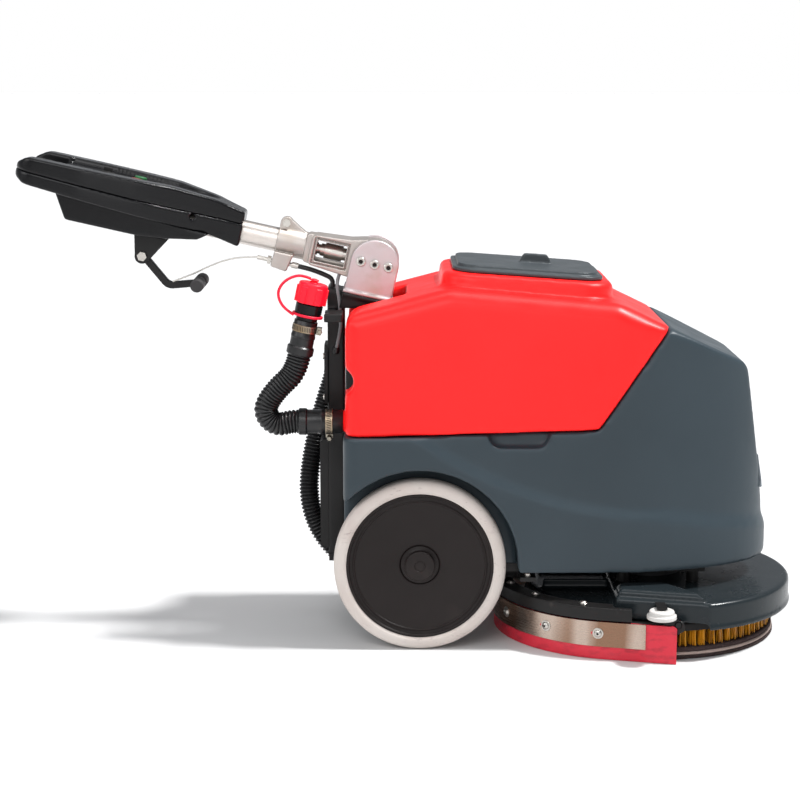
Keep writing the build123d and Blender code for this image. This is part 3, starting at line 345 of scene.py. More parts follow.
def bristle_finish():
    """Golden-brown nylon, with darker and lighter fibres."""
    finish = Finish("bristle", linear(214, 150, 24), 0.48, specular=0.5)
    finish.tint(finish.band(finish.noise(0.003, 3, (1, 1, 6)), 0.35, 0.75), linear(150, 88, 10))
    return finish.relief(finish.noise(0.0008, 2, (1, 1, 12)), 0.0001)


def pad_finish(name, colour):
    """One layer of the floor pad's open fibre, with dust caught in it."""
    finish = Finish(name, colour, 0.9, specular=0.1)
    finish.tint(finish.band(finish.noise(0.0015, 5, (1, 1, 0.5)), 0.50, 0.78), linear(112, 94, 90))
    return finish.relief(finish.noise(0.0012, 5), 0.0008)


def painted(name, colour, roughness=0.38):
    """Black powder paint with a fine orange-peel surface and pale dust."""
    finish = Finish(name, colour, roughness, specular=0.25)
    finish.tint(finish.band(finish.noise(0.02, 7), 0.66, 0.88), linear(62, 57, 54))
    finish.roughen(finish.noise(0.02, 4), roughness - 0.08, roughness + 0.15)
    return finish.relief(finish.noise(0.0018, 2), 0.00006)


RED = linear(244, 22, 22)
FINISHES = {
    "frame_black": painted("frame_black", linear(20, 19, 19)),
    "steel": brushed("steel", linear(184, 180, 174), 0.30, (1, 1, 6)),
    "body_grey": moulded("body_grey", linear(44, 54, 60), 0.38, specular=0.24),
    "tank_red": moulded("tank_red", RED, 0.36, specular=0.25),
    "cast_metal": cast("cast_metal", linear(172, 165, 160)),
    "housing_black": moulded("housing_black", linear(9, 9, 11), 0.20, specular=0.22),
    "deck_grey": moulded("deck_grey", linear(26, 32, 35), 0.24, specular=0.22),
    "lid_grey": moulded("lid_grey", linear(52, 57, 60), 0.40, specular=0.3),
    "tyre_grey": tyre_finish(),
    "hose_black": rubber("hose_black", linear(20, 20, 21), 0.32, specular=0.4),
    "cap_red": moulded("cap_red", linear(232, 10, 38), 0.34, specular=0.3),
    "roller_white": moulded("roller_white", linear(178, 176, 173), 0.45),
    "blade_red": blade_finish("blade_red", linear(200, 36, 56), linear(142, 24, 42), 0.0006),
    "blade_pale": blade_finish("blade_pale", linear(222, 212, 204), linear(190, 172, 164), 0.0004),
    "bristle": bristle_finish(),
    "driver_black": moulded("driver_black", linear(22, 21, 21), 0.6, specular=0.2),
    "plate_grey": moulded("plate_grey", linear(104, 112, 118), 0.35),
    "cable_grey": rubber("cable_grey", linear(118, 118, 120), 0.45),
    "motor_dark": painted("motor_dark", linear(38, 38, 40)),
    "battery_case": moulded("battery_case", linear(34, 34, 36), 0.5, specular=0.3),
    "control_red": moulded("control_red", linear(140, 14, 16), 0.3),
    "control_green": moulded("control_green", linear(16, 84, 40), 0.3),
}
WHEEL_BLACK = wheel_finish()
TUBE_METAL = brushed("tube_metal", linear(198, 192, 187), 0.34, (14, 1, 1), linear(196, 186, 178))
STRIP_STEEL = strip_finish()
BRACKET_METAL = cast("bracket_metal", linear(184, 175, 176), 0.46)
CLAMP_METAL = brushed("clamp_metal", linear(150, 144, 132), 0.32, (1, 1, 6), linear(140, 116, 84))
TETHER_RED = rubber("tether_red", linear(214, 18, 50), 0.45)
GRIP_RUBBER = rubber("grip_rubber", linear(46, 44, 45), 0.6, linear(84, 80, 80))


# ---- Building helpers --------------------------------------------------------------------------
def new_object(name, mesh, crease=35):
    """A shown object from a mesh, smooth except at edges sharper than the crease angle."""
    mesh.shade_smooth()
    mesh.set_sharp_from_angle(angle=radians(crease))
    piece = bpy.data.objects.new(name, mesh)
    bpy.context.scene.collection.objects.link(piece)
    return piece


def dress(piece, node, finish=None, stands_for=True):
    """Gives a piece its finish and body, and lets it stand for its CAD node."""
    finish = finish or FINISHES[SLOT_OF[node]]
    piece.data.materials.clear()
    piece.data.materials.append(finish.material)
    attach(piece, BODY_OF[node])
    if stands_for:
        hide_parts(node)
    return piece


def evaluated(piece):
    """The piece's mesh with its modifiers applied."""
    graph = bpy.context.evaluated_depsgraph_get()
    return bpy.data.meshes.new_from_object(piece.evaluated_get(graph))


def cad_copy(node):
    """A welded copy of a CAD node's mesh."""
    mesh = frame["nodes"][node].data.copy()
    form = bmesh.new()
    form.from_mesh(mesh)
    bmesh.ops.remove_doubles(form, verts=form.verts, dist=0.000005)
    form.to_mesh(mesh)
    form.free()
    return mesh


def softened(node, voxel, rounds, swell=0.0, finish=None):
    """A CAD node as a moulded or cast piece, remeshed with its edges rounded, and swelled a little."""
    piece = bpy.data.objects.new(node + "_form", cad_copy(node))
    bpy.context.scene.collection.objects.link(piece)
    remesh = piece.modifiers.new("remesh", "REMESH")
    remesh.mode = "VOXEL"
    remesh.voxel_size = voxel
    smooth = piece.modifiers.new("smooth", "SMOOTH")
    smooth.factor = 0.5
    smooth.iterations = rounds
    push = piece.modifiers.new("push", "DISPLACE")
    push.strength = swell
    push.mid_level = 0
    mesh = evaluated(piece)
    bpy.data.objects.remove(piece)
    return dress(new_object(node + "_form", mesh, 60), node, finish)


def finished(name, form, crease=35):
    """The shape that was being built, as a shown object."""
    mesh = bpy.data.meshes.new(name)
    form.to_mesh(mesh)
    form.free()
    return new_object(name, mesh, crease)


def standing(centre, axis):
    """The placement that puts a shape built along Z at a centre, along an axis."""
    turn = Vector((0, 0, 1)).rotation_difference(Vector(axis)).to_matrix().to_4x4()
    return Matrix.Translation(centre) @ turn


def sized(size):
    """The scaling of a unit cube to a size."""
    return Matrix.Diagonal((*size, 1))


def around(count):
    """Evenly spaced angles, once around a circle."""
    return [2 * pi * step / count for step in range(count)]


def lathe(name, profile, centre, axis, segments=96, crease=35):
    """A turned shape from (radius, distance along the axis) pairs."""
    place = standing(centre, axis)
    form = bmesh.new()
    rings = []
    for radius, along in profile:
        if radius < 1e-6:
            rings.append([form.verts.new(place @ Vector((0, 0, along)))])
            continue
        rings.append([
            form.verts.new(place @ Vector((radius * cos(angle), radius * sin(angle), along)))
            for angle in around(segments)
        ])
    for below, above in zip(rings, rings[1:]):
        bridge(form, below, above)
    bmesh.ops.recalc_face_normals(form, faces=form.faces)
    return finished(name, form, crease)


def bridge(form, below, above):
    """Joins two rings of points, either of which may be a single point."""
    count = max(len(below), len(above))
    for step in range(count):
        after = (step + 1) % count
        if len(below) == 1:
            corners = (below[0], above[after], above[step])
        elif len(above) == 1:
            corners = (below[step], below[after], above[0])
        else:
            corners = (below[step], below[after], above[after], above[step])
        form.faces.new(corners)


def joined(name, pieces):
    """Several pieces as one object."""
    form = bmesh.new()
    for piece in pieces:
        mesh = evaluated(piece)
        mesh.transform(piece.matrix_world)
        form.from_mesh(mesh)
        bpy.data.objects.remove(piece)
    return finished(name, form)


# ---- Cords and hoses ---------------------------------------------------------------------------
def spline_line(route):
    """The points of a smooth NURBS line that follows a route."""
    data = bpy.data.curves.new("route", "CURVE")
    data.dimensions = "3D"
    data.resolution_u = 24
    spline = data.splines.new("NURBS")
    spline.points.add(len(route) - 1)
    for point, place in zip(spline.points, route):
        point.co = (*place, 1)
    spline.order_u = 3
    spline.use_endpoint_u = True
    holder = bpy.data.objects.new("route", data)
    mesh = bpy.data.meshes.new_from_object(holder)
    line = [vertex.co.copy() for vertex in mesh.vertices]
    bpy.data.objects.remove(holder)
    return line


def evenly(line, step):
    """The line's points, spaced evenly at about this step."""
    points = np.array([tuple(point) for point in line])
    lengths = np.linalg.norm(np.diff(points, axis=0), axis=1)
    along = np.concatenate([[0], np.cumsum(lengths)])
    count = max(2, round(along[-1] / step) + 1)
    places = np.linspace(0, along[-1], count)
    return [Vector([np.interp(place, along, points[:, axis]) for axis in range(3)]) for place in places]


def tube(name, line, radii, segments=24, crease=50):
    """A round tube of changing radius along a line of points, closed at both ends."""
    form = bmesh.new()
    along = (line[1] - line[0]).normalized()
    side = along.orthogonal().normalized()
    rings = [[form.verts.new(line[0])]]
    for index, (place, radius) in enumerate(zip(line, radii)):
        ahead = line[min(index + 1, len(line) - 1)] - line[max(index - 1, 0)]
        side = (side - ahead.normalized() * side.dot(ahead.normalized())).normalized()
        other = ahead.normalized().cross(side)
        rings.append([
            form.verts.new(place + (side * cos(angle) + other * sin(angle)) * radius)
            for angle in around(segments)
        ])
    rings.append([form.verts.new(line[-1])])
    for below, above in zip(rings, rings[1:]):
        bridge(form, below, above)
    bmesh.ops.recalc_face_normals(form, faces=form.faces)
    return finished(name, form, crease)


POINTS_PER_RIB = 6


def ribbed(name, route, radius, depth, pitch, sharpness):
    """A corrugated hose: its radius rises and falls once for each pitch of its length."""
    line = evenly(spline_line(route), pitch / POINTS_PER_RIB)
    radii = []
    for index in range(len(line)):
        wave = (0.5 + 0.5 * cos(2 * pi * index / POINTS_PER_RIB)) ** sharpness
        radii.append(radius - depth * (1 - wave))
    return tube(name, line, radii, 36, 60), line


SUCTION_ROUTE = [
    (-0.1120, 0.052, 0.408),
    (-0.1120, 0.052, 0.386),
    (-0.1180, 0.054, 0.358),
    (-0.1290, 0.055, 0.326),
    (-0.1410, 0.054, 0.282),
    (-0.1510, 0.052, 0.234),
    (-0.1550, 0.050, 0.190),
    (-0.1490, 0.049, 0.152),
    (-0.1340, 0.047, 0.120),
    (-0.1100, 0.044, 0.093),
    (-0.0780, 0.039, 0.074),
    (-0.0380, 0.031, 0.065),
    (0.0040, 0.020, 0.064),
    (0.0420, 0.008, 0.072),
    (0.0700, 0.000, 0.082),
    (0.0940, 0.000, 0.082),
]
DRAIN_Y = -0.092
OUTLET_Z = 0.321
DRAIN_TILT = radians(12)
DRAIN_TOP = (-0.141, DRAIN_Y, 0.503)
DRAIN_AXIS = (sin(DRAIN_TILT), 0, cos(DRAIN_TILT))
DRAIN_ROUTE = [
    (-0.1593, DRAIN_Y, 0.4169),
    (-0.1647, DRAIN_Y, 0.3915),
    (-0.1900, DRAIN_Y, 0.3690),
    (-0.2085, DRAIN_Y, 0.3430),
    (-0.2050, DRAIN_Y, 0.3260),
    (-0.1905, DRAIN_Y, 0.3160),
    (-0.1710, DRAIN_Y, OUTLET_Z),
    (-0.1610, DRAIN_Y, OUTLET_Z),
]
TETHER_ROUTE = [
    (-0.1425, -0.094, 0.5240),
    (-0.1530, -0.097, 0.5290),
    (-0.1660, -0.100, 0.5280),
    (-0.1800, -0.102, 0.5205),
    (-0.1880, -0.103, 0.5075),
    (-0.1860, -0.104, 0.4940),
    (-0.1770, -0.104, 0.4815),
    (-0.1660, -0.103, 0.4745),
]
PIVOT = (-0.054, 0.0, 0.538)
HANDLE_TILT = radians(12.7)


def on_handle(back, up, y):
    """The place of a point so far back along the handle and so far above its axis, in metres."""
    x = PIVOT[0] - back * cos(HANDLE_TILT) + up * sin(HANDLE_TILT)
    z = PIVOT[2] + back * sin(HANDLE_TILT) + up * cos(HANDLE_TILT)
    return (x, y, z)


WIRE_Y = -0.014
SHEATH_ROUTE = [
    on_handle(0.1058, -0.0295, WIRE_Y),
    on_handle(0.0900, -0.0295, WIRE_Y),
    on_handle(0.0680, -0.0325, WIRE_Y),
    on_handle(0.0520, -0.0365, WIRE_Y),
    on_handle(0.0520, -0.0477, WIRE_Y),
]
CABLE_ROUTE = [
    on_handle(0.0460, -0.0266, -0.026),
    on_handle(0.0470, -0.0350, -0.027),
    (-0.1075, -0.0345, 0.503),
    (-0.1045, -0.0355, 0.488),
    (-0.1035, -0.0360, 0.472),
    (-0.1020, -0.0360, 0.452),
    (-0.1060, -0.0350, 0.430),
    (-0.1100, -0.0328, 0.412),
]
WIRE_ROUTE = [
    on_handle(0.2770, -0.0905, WIRE_Y),
    on_handle(0.2540, -0.0760, WIRE_Y),
    on_handle(0.2330, -0.0595, WIRE_Y),
    on_handle(0.2120, -0.0450, WIRE_Y),
    on_handle(0.1890, -0.0345, WIRE_Y),
    on_handle(0.1660, -0.0295, WIRE_Y),
]


def dress_cord(piece, node, finish):
    piece.data.materials.append((finish or FINISHES[SLOT_OF[node]]).material)
    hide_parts(node)
    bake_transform(piece)


def make_suction_hose():
    """The long ribbed hose."""
    hose, line = ribbed("suction_hose_ribs", SUCTION_ROUTE, 0.015, 0.0028, 0.0054, 0.8)
    dress_cord(hose, "suction_hose", None)


def make_drain_hose():
    """The short ribbed hose that hangs behind the drain neck."""
    hose, _ = ribbed("drain_hose_ribs", DRAIN_ROUTE, 0.017, 0.0020, 0.0047, 0.55)
    dress(hose, "drain_hose")


def plain_cord(name, route, radius, segments=16):
    """A smooth round cord along a route, and its line."""
    line = evenly(spline_line(route), radius * 1.2)
    return tube(name, line, [radius] * len(line), segments), line


def make_thin_cords():
    """The sheath and cable below the knuckle, and the lever's steel wire."""
    sheath, line = plain_cord("cable_sheath_cord", SHEATH_ROUTE, 0.0035)
    dress_cord(sheath, "cable_sheath", None)
    cable, line = plain_cord("power_cable_cord", CABLE_ROUTE, 0.0025)
    dress_cord(cable, "power_cable", None)
    wire, line = plain_cord("lift_wire_cord", WIRE_ROUTE, 0.0011, 10)
    dress_cord(wire, "lift_wire", None)


def make_tether():
    """The red strap from the cap's button to a ring around the neck, with its two eyes."""
    strap, line = plain_cord("cap_tether_strap", TETHER_ROUTE, 0.0020)
    dress_cord(strap, "cap_tether", TETHER_RED)
    ring = lathe("cap_tether_ring", ring_profile(0.0192, 0.0218, -0.033, -0.0295), DRAIN_TOP, DRAIN_AXIS)
    dress(ring, "cap_tether", TETHER_RED, stands_for=False)
    eye = lathe("cap_tether_eye", ring_profile(0.0042, 0.0066, 0.018, 0.020), DRAIN_TOP, DRAIN_AXIS, 32)
    dress(eye, "drain_cap", TETHER_RED, stands_for=False)


# ---- Drain line --------------------------------------------------------------------------------
def ring_profile(inner, outer, low, high, edge=0.0006):
    """The outline of a flat ring with eased outer edges, ready for the lathe."""
    return [
        (inner, low), (outer - edge, low), (outer, low + edge), (outer, high - edge), (outer - edge, high),
        (inner, high), (inner, low),
    ]


CLAMP_BAND_THICKNESS = 0.0010
CLAMP_HALF_WIDTH = 0.005
CLAMP_HOUSING_SIZE = (0.0066, 0.0150, 0.0104)
CLAMP_SCREW = [
    (0, -0.013), (0.0030, -0.013), (0.0036, -0.0124), (0.0036, -0.0082), (0.0024, -0.0080),
    (0.0024, 0.0100), (0.0018, 0.0106), (0, 0.0106),
]
SLOTS_PER_CLAMP = 44
SLOT_SIZE = (0.0003, 0.0010, 0.0066)
SLOT_SLANT = 0.22
LOWER_CLAMP_CENTRE = (-0.118, DRAIN_Y, OUTLET_Z)


def worm_clamp(name, centre, axis, radius, screw_side):
    """A worm-drive clamp, as a thin band with its housing and hex screw, and the band's slots."""
    place = standing(centre, axis)
    spin = place @ Matrix.Rotation(screw_side, 4, "Z")
    outside = radius + CLAMP_BAND_THICKNESS
    outline = ring_profile(radius, outside, -CLAMP_HALF_WIDTH, CLAMP_HALF_WIDTH, 0.0003)
    band = lathe(name + "_band", outline, centre, axis)
    slots = clamp_slots(name + "_slots", place, outside)
    form = bmesh.new()
    housing = Matrix.Translation((radius + 0.0040, 0, 0)) @ sized(CLAMP_HOUSING_SIZE)
    bmesh.ops.create_cube(form, size=1, matrix=spin @ housing)
    bmesh.ops.bevel(
        form, geom=form.edges[:], offset=0.0004, segments=2, affect="EDGES", profile=0.6,
        clamp_overlap=True,
    )
    detail = finished(name + "_detail", form)
    along = spin.to_3x3() @ Vector((0, 1, 0))
    screw_centre = spin @ Vector((radius + 0.0052, 0, 0))
    screw = lathe(name + "_screw", CLAMP_SCREW, screw_centre, along, 6, 20)
    return joined(name, [band, detail, screw]), slots


def clamp_slots(name, place, radius):
    """The slanted slots that the screw of a clamp bites into, as dark inlays in its band."""
    form = bmesh.new()
    for angle in around(SLOTS_PER_CLAMP):
        turn = Matrix.Rotation(angle, 4, "Z") @ Matrix.Translation((radius, 0, 0))
        inlay = turn @ Matrix.Rotation(SLOT_SLANT, 4, "X") @ sized(SLOT_SIZE)
        bmesh.ops.create_cube(form, size=1, matrix=place @ inlay)
    bmesh.ops.bevel(form, geom=form.edges[:], offset=0.0001, segments=1, affect="EDGES")
    return finished(name, form)


def make_hose_clamps():
    """The two clamps as one piece."""
    upper_centre = Vector(DRAIN_TOP) - 0.050 * Vector(DRAIN_AXIS)
    upper, upper_slots = worm_clamp("upper_clamp", upper_centre, DRAIN_AXIS, 0.0166, 0)
    lower, lower_slots = worm_clamp("lower_clamp", LOWER_CLAMP_CENTRE, (1, 0, 0), 0.0171, radians(30))
    dress(joined("hose_clamps_pair", [upper, lower]), "hose_clamps", CLAMP_METAL)
    slots = joined("hose_clamp_slots", [upper_slots, lower_slots])
    dress(slots, "hose_clamps", FINISHES["driver_black"], stands_for=False)


def cuff(name, centre, axis, profile):
    """A rubber cuff from its outer outline, closed along the axis at both ends."""
    return lathe(name, [(0, profile[0][1])] + profile + [(0, profile[-1][1])], centre, axis, 64, 30)


def make_drain_cuffs():
    """Both rubber cuffs, each with a raised bead and a flared collar."""
    upper = cuff("upper_cuff", DRAIN_TOP, DRAIN_AXIS, [
        (0.0178, -0.0880), (0.0190, -0.0868), (0.0190, -0.0772), (0.0176, -0.0760), (0.0166, -0.0750),
        (0.0166, -0.0640), (0.0172, -0.0632), (0.0172, -0.0600), (0.0166, -0.0590), (0.0166, -0.0400),
        (0.0160, -0.0390),
    ])
    lower = cuff("lower_cuff", (0, DRAIN_Y, OUTLET_Z), (1, 0, 0), [
        (0.0178, -0.1610), (0.0190, -0.1598), (0.0190, -0.1506), (0.0180, -0.1494), (0.0170, -0.1484),
        (0.0170, -0.1310), (0.0176, -0.1300), (0.0176, -0.1276), (0.0171, -0.1268), (0.0171, -0.0990),
        (0.0164, -0.0980),
    ])
    dress(joined("drain_cuffs_pair", [upper, lower]), "drain_cuffs")


def make_drain_neck():
    """The black neck below the cap, with a bead and a stepped shoulder."""
    neck = lathe("drain_neck_form", [
        (0, 0.0085), (0.0150, 0.0085), (0.0160, 0.0075), (0.0160, -0.0140), (0.0176, -0.0150),
        (0.0190, -0.0160), (0.0190, -0.0272), (0.0182, -0.0282), (0.0182, -0.0338), (0.0150, -0.0345),
        (0.0150, -0.0380), (0.0120, -0.0384), (0.0120, -0.0600), (0, -0.0600),
    ], DRAIN_TOP, DRAIN_AXIS, 64, 30)
    dress(neck, "drain_neck")


# ---- Wheels ------------------------------------------------------------------------------------
WHEEL_CENTRE = (0.010, 0.0, 0.122)


def round_corner(centre, radius, start, end, steps=6):
    """Points on an arc of a lathe outline, from one angle to another, in degrees."""
    angles = [radians(start + (end - start) * step / steps) for step in range(steps + 1)]
    return [(centre[0] + radius * cos(angle), centre[1] + radius * sin(angle)) for angle in angles]


def make_tyre(node, side):
    """The solid tyre: a slightly crowned tread between round shoulders, with a step at the rim."""
    profile = [(0.104, 0.098)]
    profile += round_corner((0.1125, 0.1075), 0.0090, -90, -20)
    profile += [(0.1218, 0.113), (0.1220, 0.119), (0.1218, 0.125)]
    profile += round_corner((0.1130, 0.1305), 0.0088, 20, 86)
    profile += [(0.1085, 0.1397), (0.1060, 0.1388), (0.1052, 0.1376), (0.1040, 0.1374), (0.104, 0.098)]
    tyre = lathe(node + "_form", profile, WHEEL_CENTRE, (0, side, 0), 160, 40)
    dress(tyre, node)


def make_wheel(node, side):
    """The wheel disc: a rolled rim, a shallow dish with a step, and a hub boss with its cap."""
    profile = [(0.0178, 0.100), (0.030, 0.100), (0.034, 0.122), (0.092, 0.127), (0.095, 0.102)]
    profile += [(0.1038, 0.102)]
    profile += [(0.1038, 0.1366), (0.1030, 0.1376), (0.1006, 0.1380), (0.0996, 0.1372), (0.0990, 0.1356)]
    profile += [(0.0966, 0.1346), (0.0950, 0.1350), (0.0938, 0.1362), (0.0926, 0.1360), (0.0915, 0.1346)]
    profile += [(0.0600, 0.1325), (0.0330, 0.1306)]
    profile += round_corner((0.0300, 0.1276), 0.0026, 90, 180, 4)
    profile += [(0.0268, 0.1290), (0.0232, 0.1300), (0.0214, 0.1312)]
    profile += round_corner((0.0188, 0.1366), 0.0026, 0, 90, 5)
    profile += [(0.0150, 0.1394), (0.0080, 0.1390), (0.0066, 0.1374), (0, 0.1372)]
    disc = lathe(node + "_form", profile, WHEEL_CENTRE, (0, side, 0), 128, 40)
    dress(disc, node, WHEEL_BLACK)


# ---- Brush -------------------------------------------------------------------------------------
BRUSH_CENTRE = (0.348, 0.0, 0.0)
TUFT_RINGS = ((0.1745, 76), (0.1580, 70), (0.1400, 62), (0.1190, 52), (0.0960, 42), (0.0720, 32))
FIBRES_PER_TUFT = 16
FIBRE_RADIUS = 0.0009
TUFT_SPREAD = 0.0036
TUFT_FLARE = 1.45
TUFT_ROOT_Z = 0.0405
TUFT_TIP_Z = 0.0165
TUFT_UNEVENNESS = 0.0012


def add_fibre(form, foot, tip, thickness):
    """One bristle: a slender three-sided spike that leans from its root to its tip."""
    ends = []
    for place, radius in ((foot, thickness), (tip, thickness * 0.7)):
        corners = [radians(120 * corner + 20) for corner in range(3)]
        ends.append([
            form.verts.new(place + Vector((radius * cos(angle), radius * sin(angle), 0)))
            for angle in corners
        ])
    bridge(form, ends[0], ends[1])
    form.faces.new(ends[1])
    form.faces.new(reversed(ends[0]))


def make_tufts():
    """Rings of bristle tufts, each a bundle of fibres that spreads a little towards the pad."""
    chance = Random(7)
    form = bmesh.new()
    for radius, count in TUFT_RINGS:
        for angle in around(count):
            out = Vector((cos(angle), sin(angle), 0))
            middle = Vector(BRUSH_CENTRE) + out * radius
            for _ in range(FIBRES_PER_TUFT):
                spread = Vector((chance.uniform(-1, 1), chance.uniform(-1, 1), 0)) * TUFT_SPREAD
                tip_z = TUFT_TIP_Z + chance.uniform(0, TUFT_UNEVENNESS)
                foot = middle + spread + Vector((0, 0, TUFT_ROOT_Z))
                tip = middle + spread * TUFT_FLARE + Vector((0, 0, tip_z))
                add_fibre(form, foot, tip, FIBRE_RADIUS)
    dress(finished("driver_tufts_fibres", form), "driver_tufts")


PAD_HOLE_RADIUS = 0.0405
PAD_UNEVENNESS = 0.00025
PAD_LAYERS = (
    ("lower", 0.0002, 0.0056, 0.1846, linear(46, 38, 38)),
    ("middle", 0.0056, 0.0098, 0.1838, linear(176, 158, 150)),
    ("upper", 0.0098, 0.0168, 0.1826, linear(52, 42, 42)),
)


def make_pad():
    """The floor pad as three stacked layers, each slightly uneven."""
    chance = Random(11)
    for name, low, high, radius, colour in PAD_LAYERS:
        outline = [(PAD_HOLE_RADIUS, low), (radius - 0.0012, low), (radius, low + 0.0014)]
        outline += [(radius, high - 0.0014), (radius - 0.0012, high)]
        outline += [(PAD_HOLE_RADIUS, high), (PAD_HOLE_RADIUS, low)]
        layer = lathe("floor_pad_" + name, outline, BRUSH_CENTRE, (0, 0, 1), 180)
        for vertex in layer.data.vertices:
            vertex.co.z = max(0.0, vertex.co.z + chance.uniform(-PAD_UNEVENNESS, PAD_UNEVENNESS))
        dress(layer, "floor_pad", pad_finish("pad_" + name, colour))


# ---- Fasteners ---------------------------------------------------------------------------------
def dome_bolt(name, centre, axis, radius, height, washer):
    """A dome-headed bolt on a thin washer, with a small socket in its head."""
    profile = [(0, 0), (washer, 0), (washer, 0.0006), (washer - 0.0004, 0.0010), (radius, 0.0010)]
    dome = [radians(angle) for angle in (10, 25, 42, 60, 72)]
    profile += [(radius * cos(angle), 0.0010 + height * sin(angle)) for angle in dome]
    profile += [(radius * 0.26, 0.0010 + height * 0.70), (0, 0.0010 + height * 0.62)]
    return lathe(name, profile, centre, axis, 32, 30)


def socket_bolt(name, centre, axis, radius, height):
    """A socket cap bolt: a round head with a chamfered rim and a six-sided socket."""
    head = lathe(name + "_head", [
        (0, 0), (radius, 0), (radius, height - 0.0006), (radius - 0.0007, height),
        (radius * 0.62, height), (radius * 0.60, height - 0.0004),
    ], centre, axis, 32, 30)
    socket = lathe(name + "_socket", [
        (radius * 0.62, height - 0.0003), (radius * 0.54, height - 0.0004), (radius * 0.52, 0.0010),
        (0, 0.0010),
    ], centre, axis, 6, 30)
    return joined(name, [head, socket])


def socket_shadow(name, centre, axis, radius, height):
    """Painted shade at the bottom of a bolt's socket: a dark six-sided dish."""
    dish = [(radius, height), (radius * 0.8, height - 0.0002), (0, height - 0.0002)]
    return lathe(name, dish, centre, axis, 6, 20)


PIVOT_BOLT_PLACES = (-0.020, 0.0, 0.020)
CHEEK_OUTER_Y = 0.043


def make_pivot_bolts():
    """The three socket bolts in each cheek of the handle bracket."""
    bolts, shadows = [], []
    for side in (-1, 1):
        for along in PIVOT_BOLT_PLACES:
            centre = on_handle(along, 0, side * CHEEK_OUTER_Y)
            axis = (0, side, 0)
            bolts.append(socket_bolt(f"pivot_{side}_{along}", centre, axis, 0.0066, 0.0042))
            shadows.append(socket_shadow(f"pivot_socket_shade_{side}_{along}", centre, axis, 0.0032, 0.0043))
    dress(joined("pivot_bolts_set", bolts), "pivot_bolts")
    # A dark dish of painted shade sits in each bolt's socket.
    socket_shade = joined("pivot_bolt_socket_shade", shadows)
    dress(socket_shade, "pivot_bolts", FINISHES["driver_black"], stands_for=False)


SQUEEGEE_X = 0.310
STRIP_OUTER_RADIUS = 0.190
STRIP_MIDDLE_Z = 0.038
STRIP_BOLT_ANGLES = (-74, -50, -24, 0, 24, 50, 74)
CHANNEL_BOLT_RADIUS = 0.1755
CHANNEL_TOP_Z = 0.075
CHANNEL_BOLT_ANGLES = (-66, -40, -18, 18, 40, 66)


def make_clamp_bolts():
    """The dome bolts of the clamp strip, and those on top of the channel."""
    bolts, shadows = [], []
    for angle in STRIP_BOLT_ANGLES:
        turn = radians(angle)
        out = Vector((-cos(turn), -sin(turn), 0))
        centre = Vector((SQUEEGEE_X, 0, STRIP_MIDDLE_Z)) + out * STRIP_OUTER_RADIUS
        bolts.append(dome_bolt(f"strip_bolt_{angle}", centre, out, 0.0056, 0.0034, 0.0078))
        shadows.append(socket_shadow(f"strip_socket_shade_{angle}", centre, out, 0.0016, 0.0044))
    for angle in CHANNEL_BOLT_ANGLES:
        turn = radians(angle)
        back, aside = CHANNEL_BOLT_RADIUS * cos(turn), CHANNEL_BOLT_RADIUS * sin(turn)
        centre = (SQUEEGEE_X - back, -aside, CHANNEL_TOP_Z)
        bolts.append(dome_bolt(f"top_bolt_{angle}", centre, (0, 0, 1), 0.0048, 0.0030, 0.0066))
        shadows.append(socket_shadow(f"top_socket_shade_{angle}", centre, (0, 0, 1), 0.0014, 0.0040))
    dress(joined("clamp_bolts_set", bolts), "clamp_bolts")
    # A dark dish of painted shade sits in each bolt's socket.
    socket_shade = joined("clamp_bolt_socket_shade", shadows)
    dress(socket_shade, "clamp_bolts", FINISHES["driver_black"], stands_for=False)


STRIP_SLOT_ANGLES = (-77.5, -53.5, 53.5, 77.5)
STRIP_SLOT_SHIFT = 5.4
STRIP_SLOT_SIZE = (0.0008, 0.0075, 0.0050)


def make_strip_slots():
    """The red rubber that shows in the strip's long holes beside its end bolts."""
    form = bmesh.new()
    for angle in STRIP_SLOT_ANGLES:
        inward = angle - STRIP_SLOT_SHIFT if angle > 0 else angle + STRIP_SLOT_SHIFT
        turn = Matrix.Rotation(radians(180 + inward), 4, "Z")
        place = Matrix.Translation((SQUEEGEE_X, 0, STRIP_MIDDLE_Z)) @ turn
        shape = Matrix.Translation((STRIP_OUTER_RADIUS, 0, 0)) @ sized(STRIP_SLOT_SIZE)
        bmesh.ops.create_uvsphere(form, u_segments=16, v_segments=10, radius=0.5, matrix=place @ shape)
    dress(finished("strip_slots", form), "outer_blade", stands_for=False)


def make_cable_grommet():
    """The rubber grommet where the grey cable goes into the column."""
    along = Vector(CABLE_ROUTE[-1]) - Vector(CABLE_ROUTE[-2])
    profile = [(0, -0.006), (0.0040, -0.006), (0.0048, -0.005), (0.0052, 0.001)]
    profile += [(0.0040, 0.003), (0, 0.003)]
    grommet = lathe("cable_grommet", profile, CABLE_ROUTE[-1], along.normalized(), 32)
    dress(grommet, "rear_column", FINISHES["hose_black"], stands_for=False)


KEY_BACK = 0.400
PANEL_HEIGHT = 0.0385
KEY_BOW_HEIGHT = 0.0440
KEY_BOW_SIZE = (0.0130, 0.0024, 0.0080)


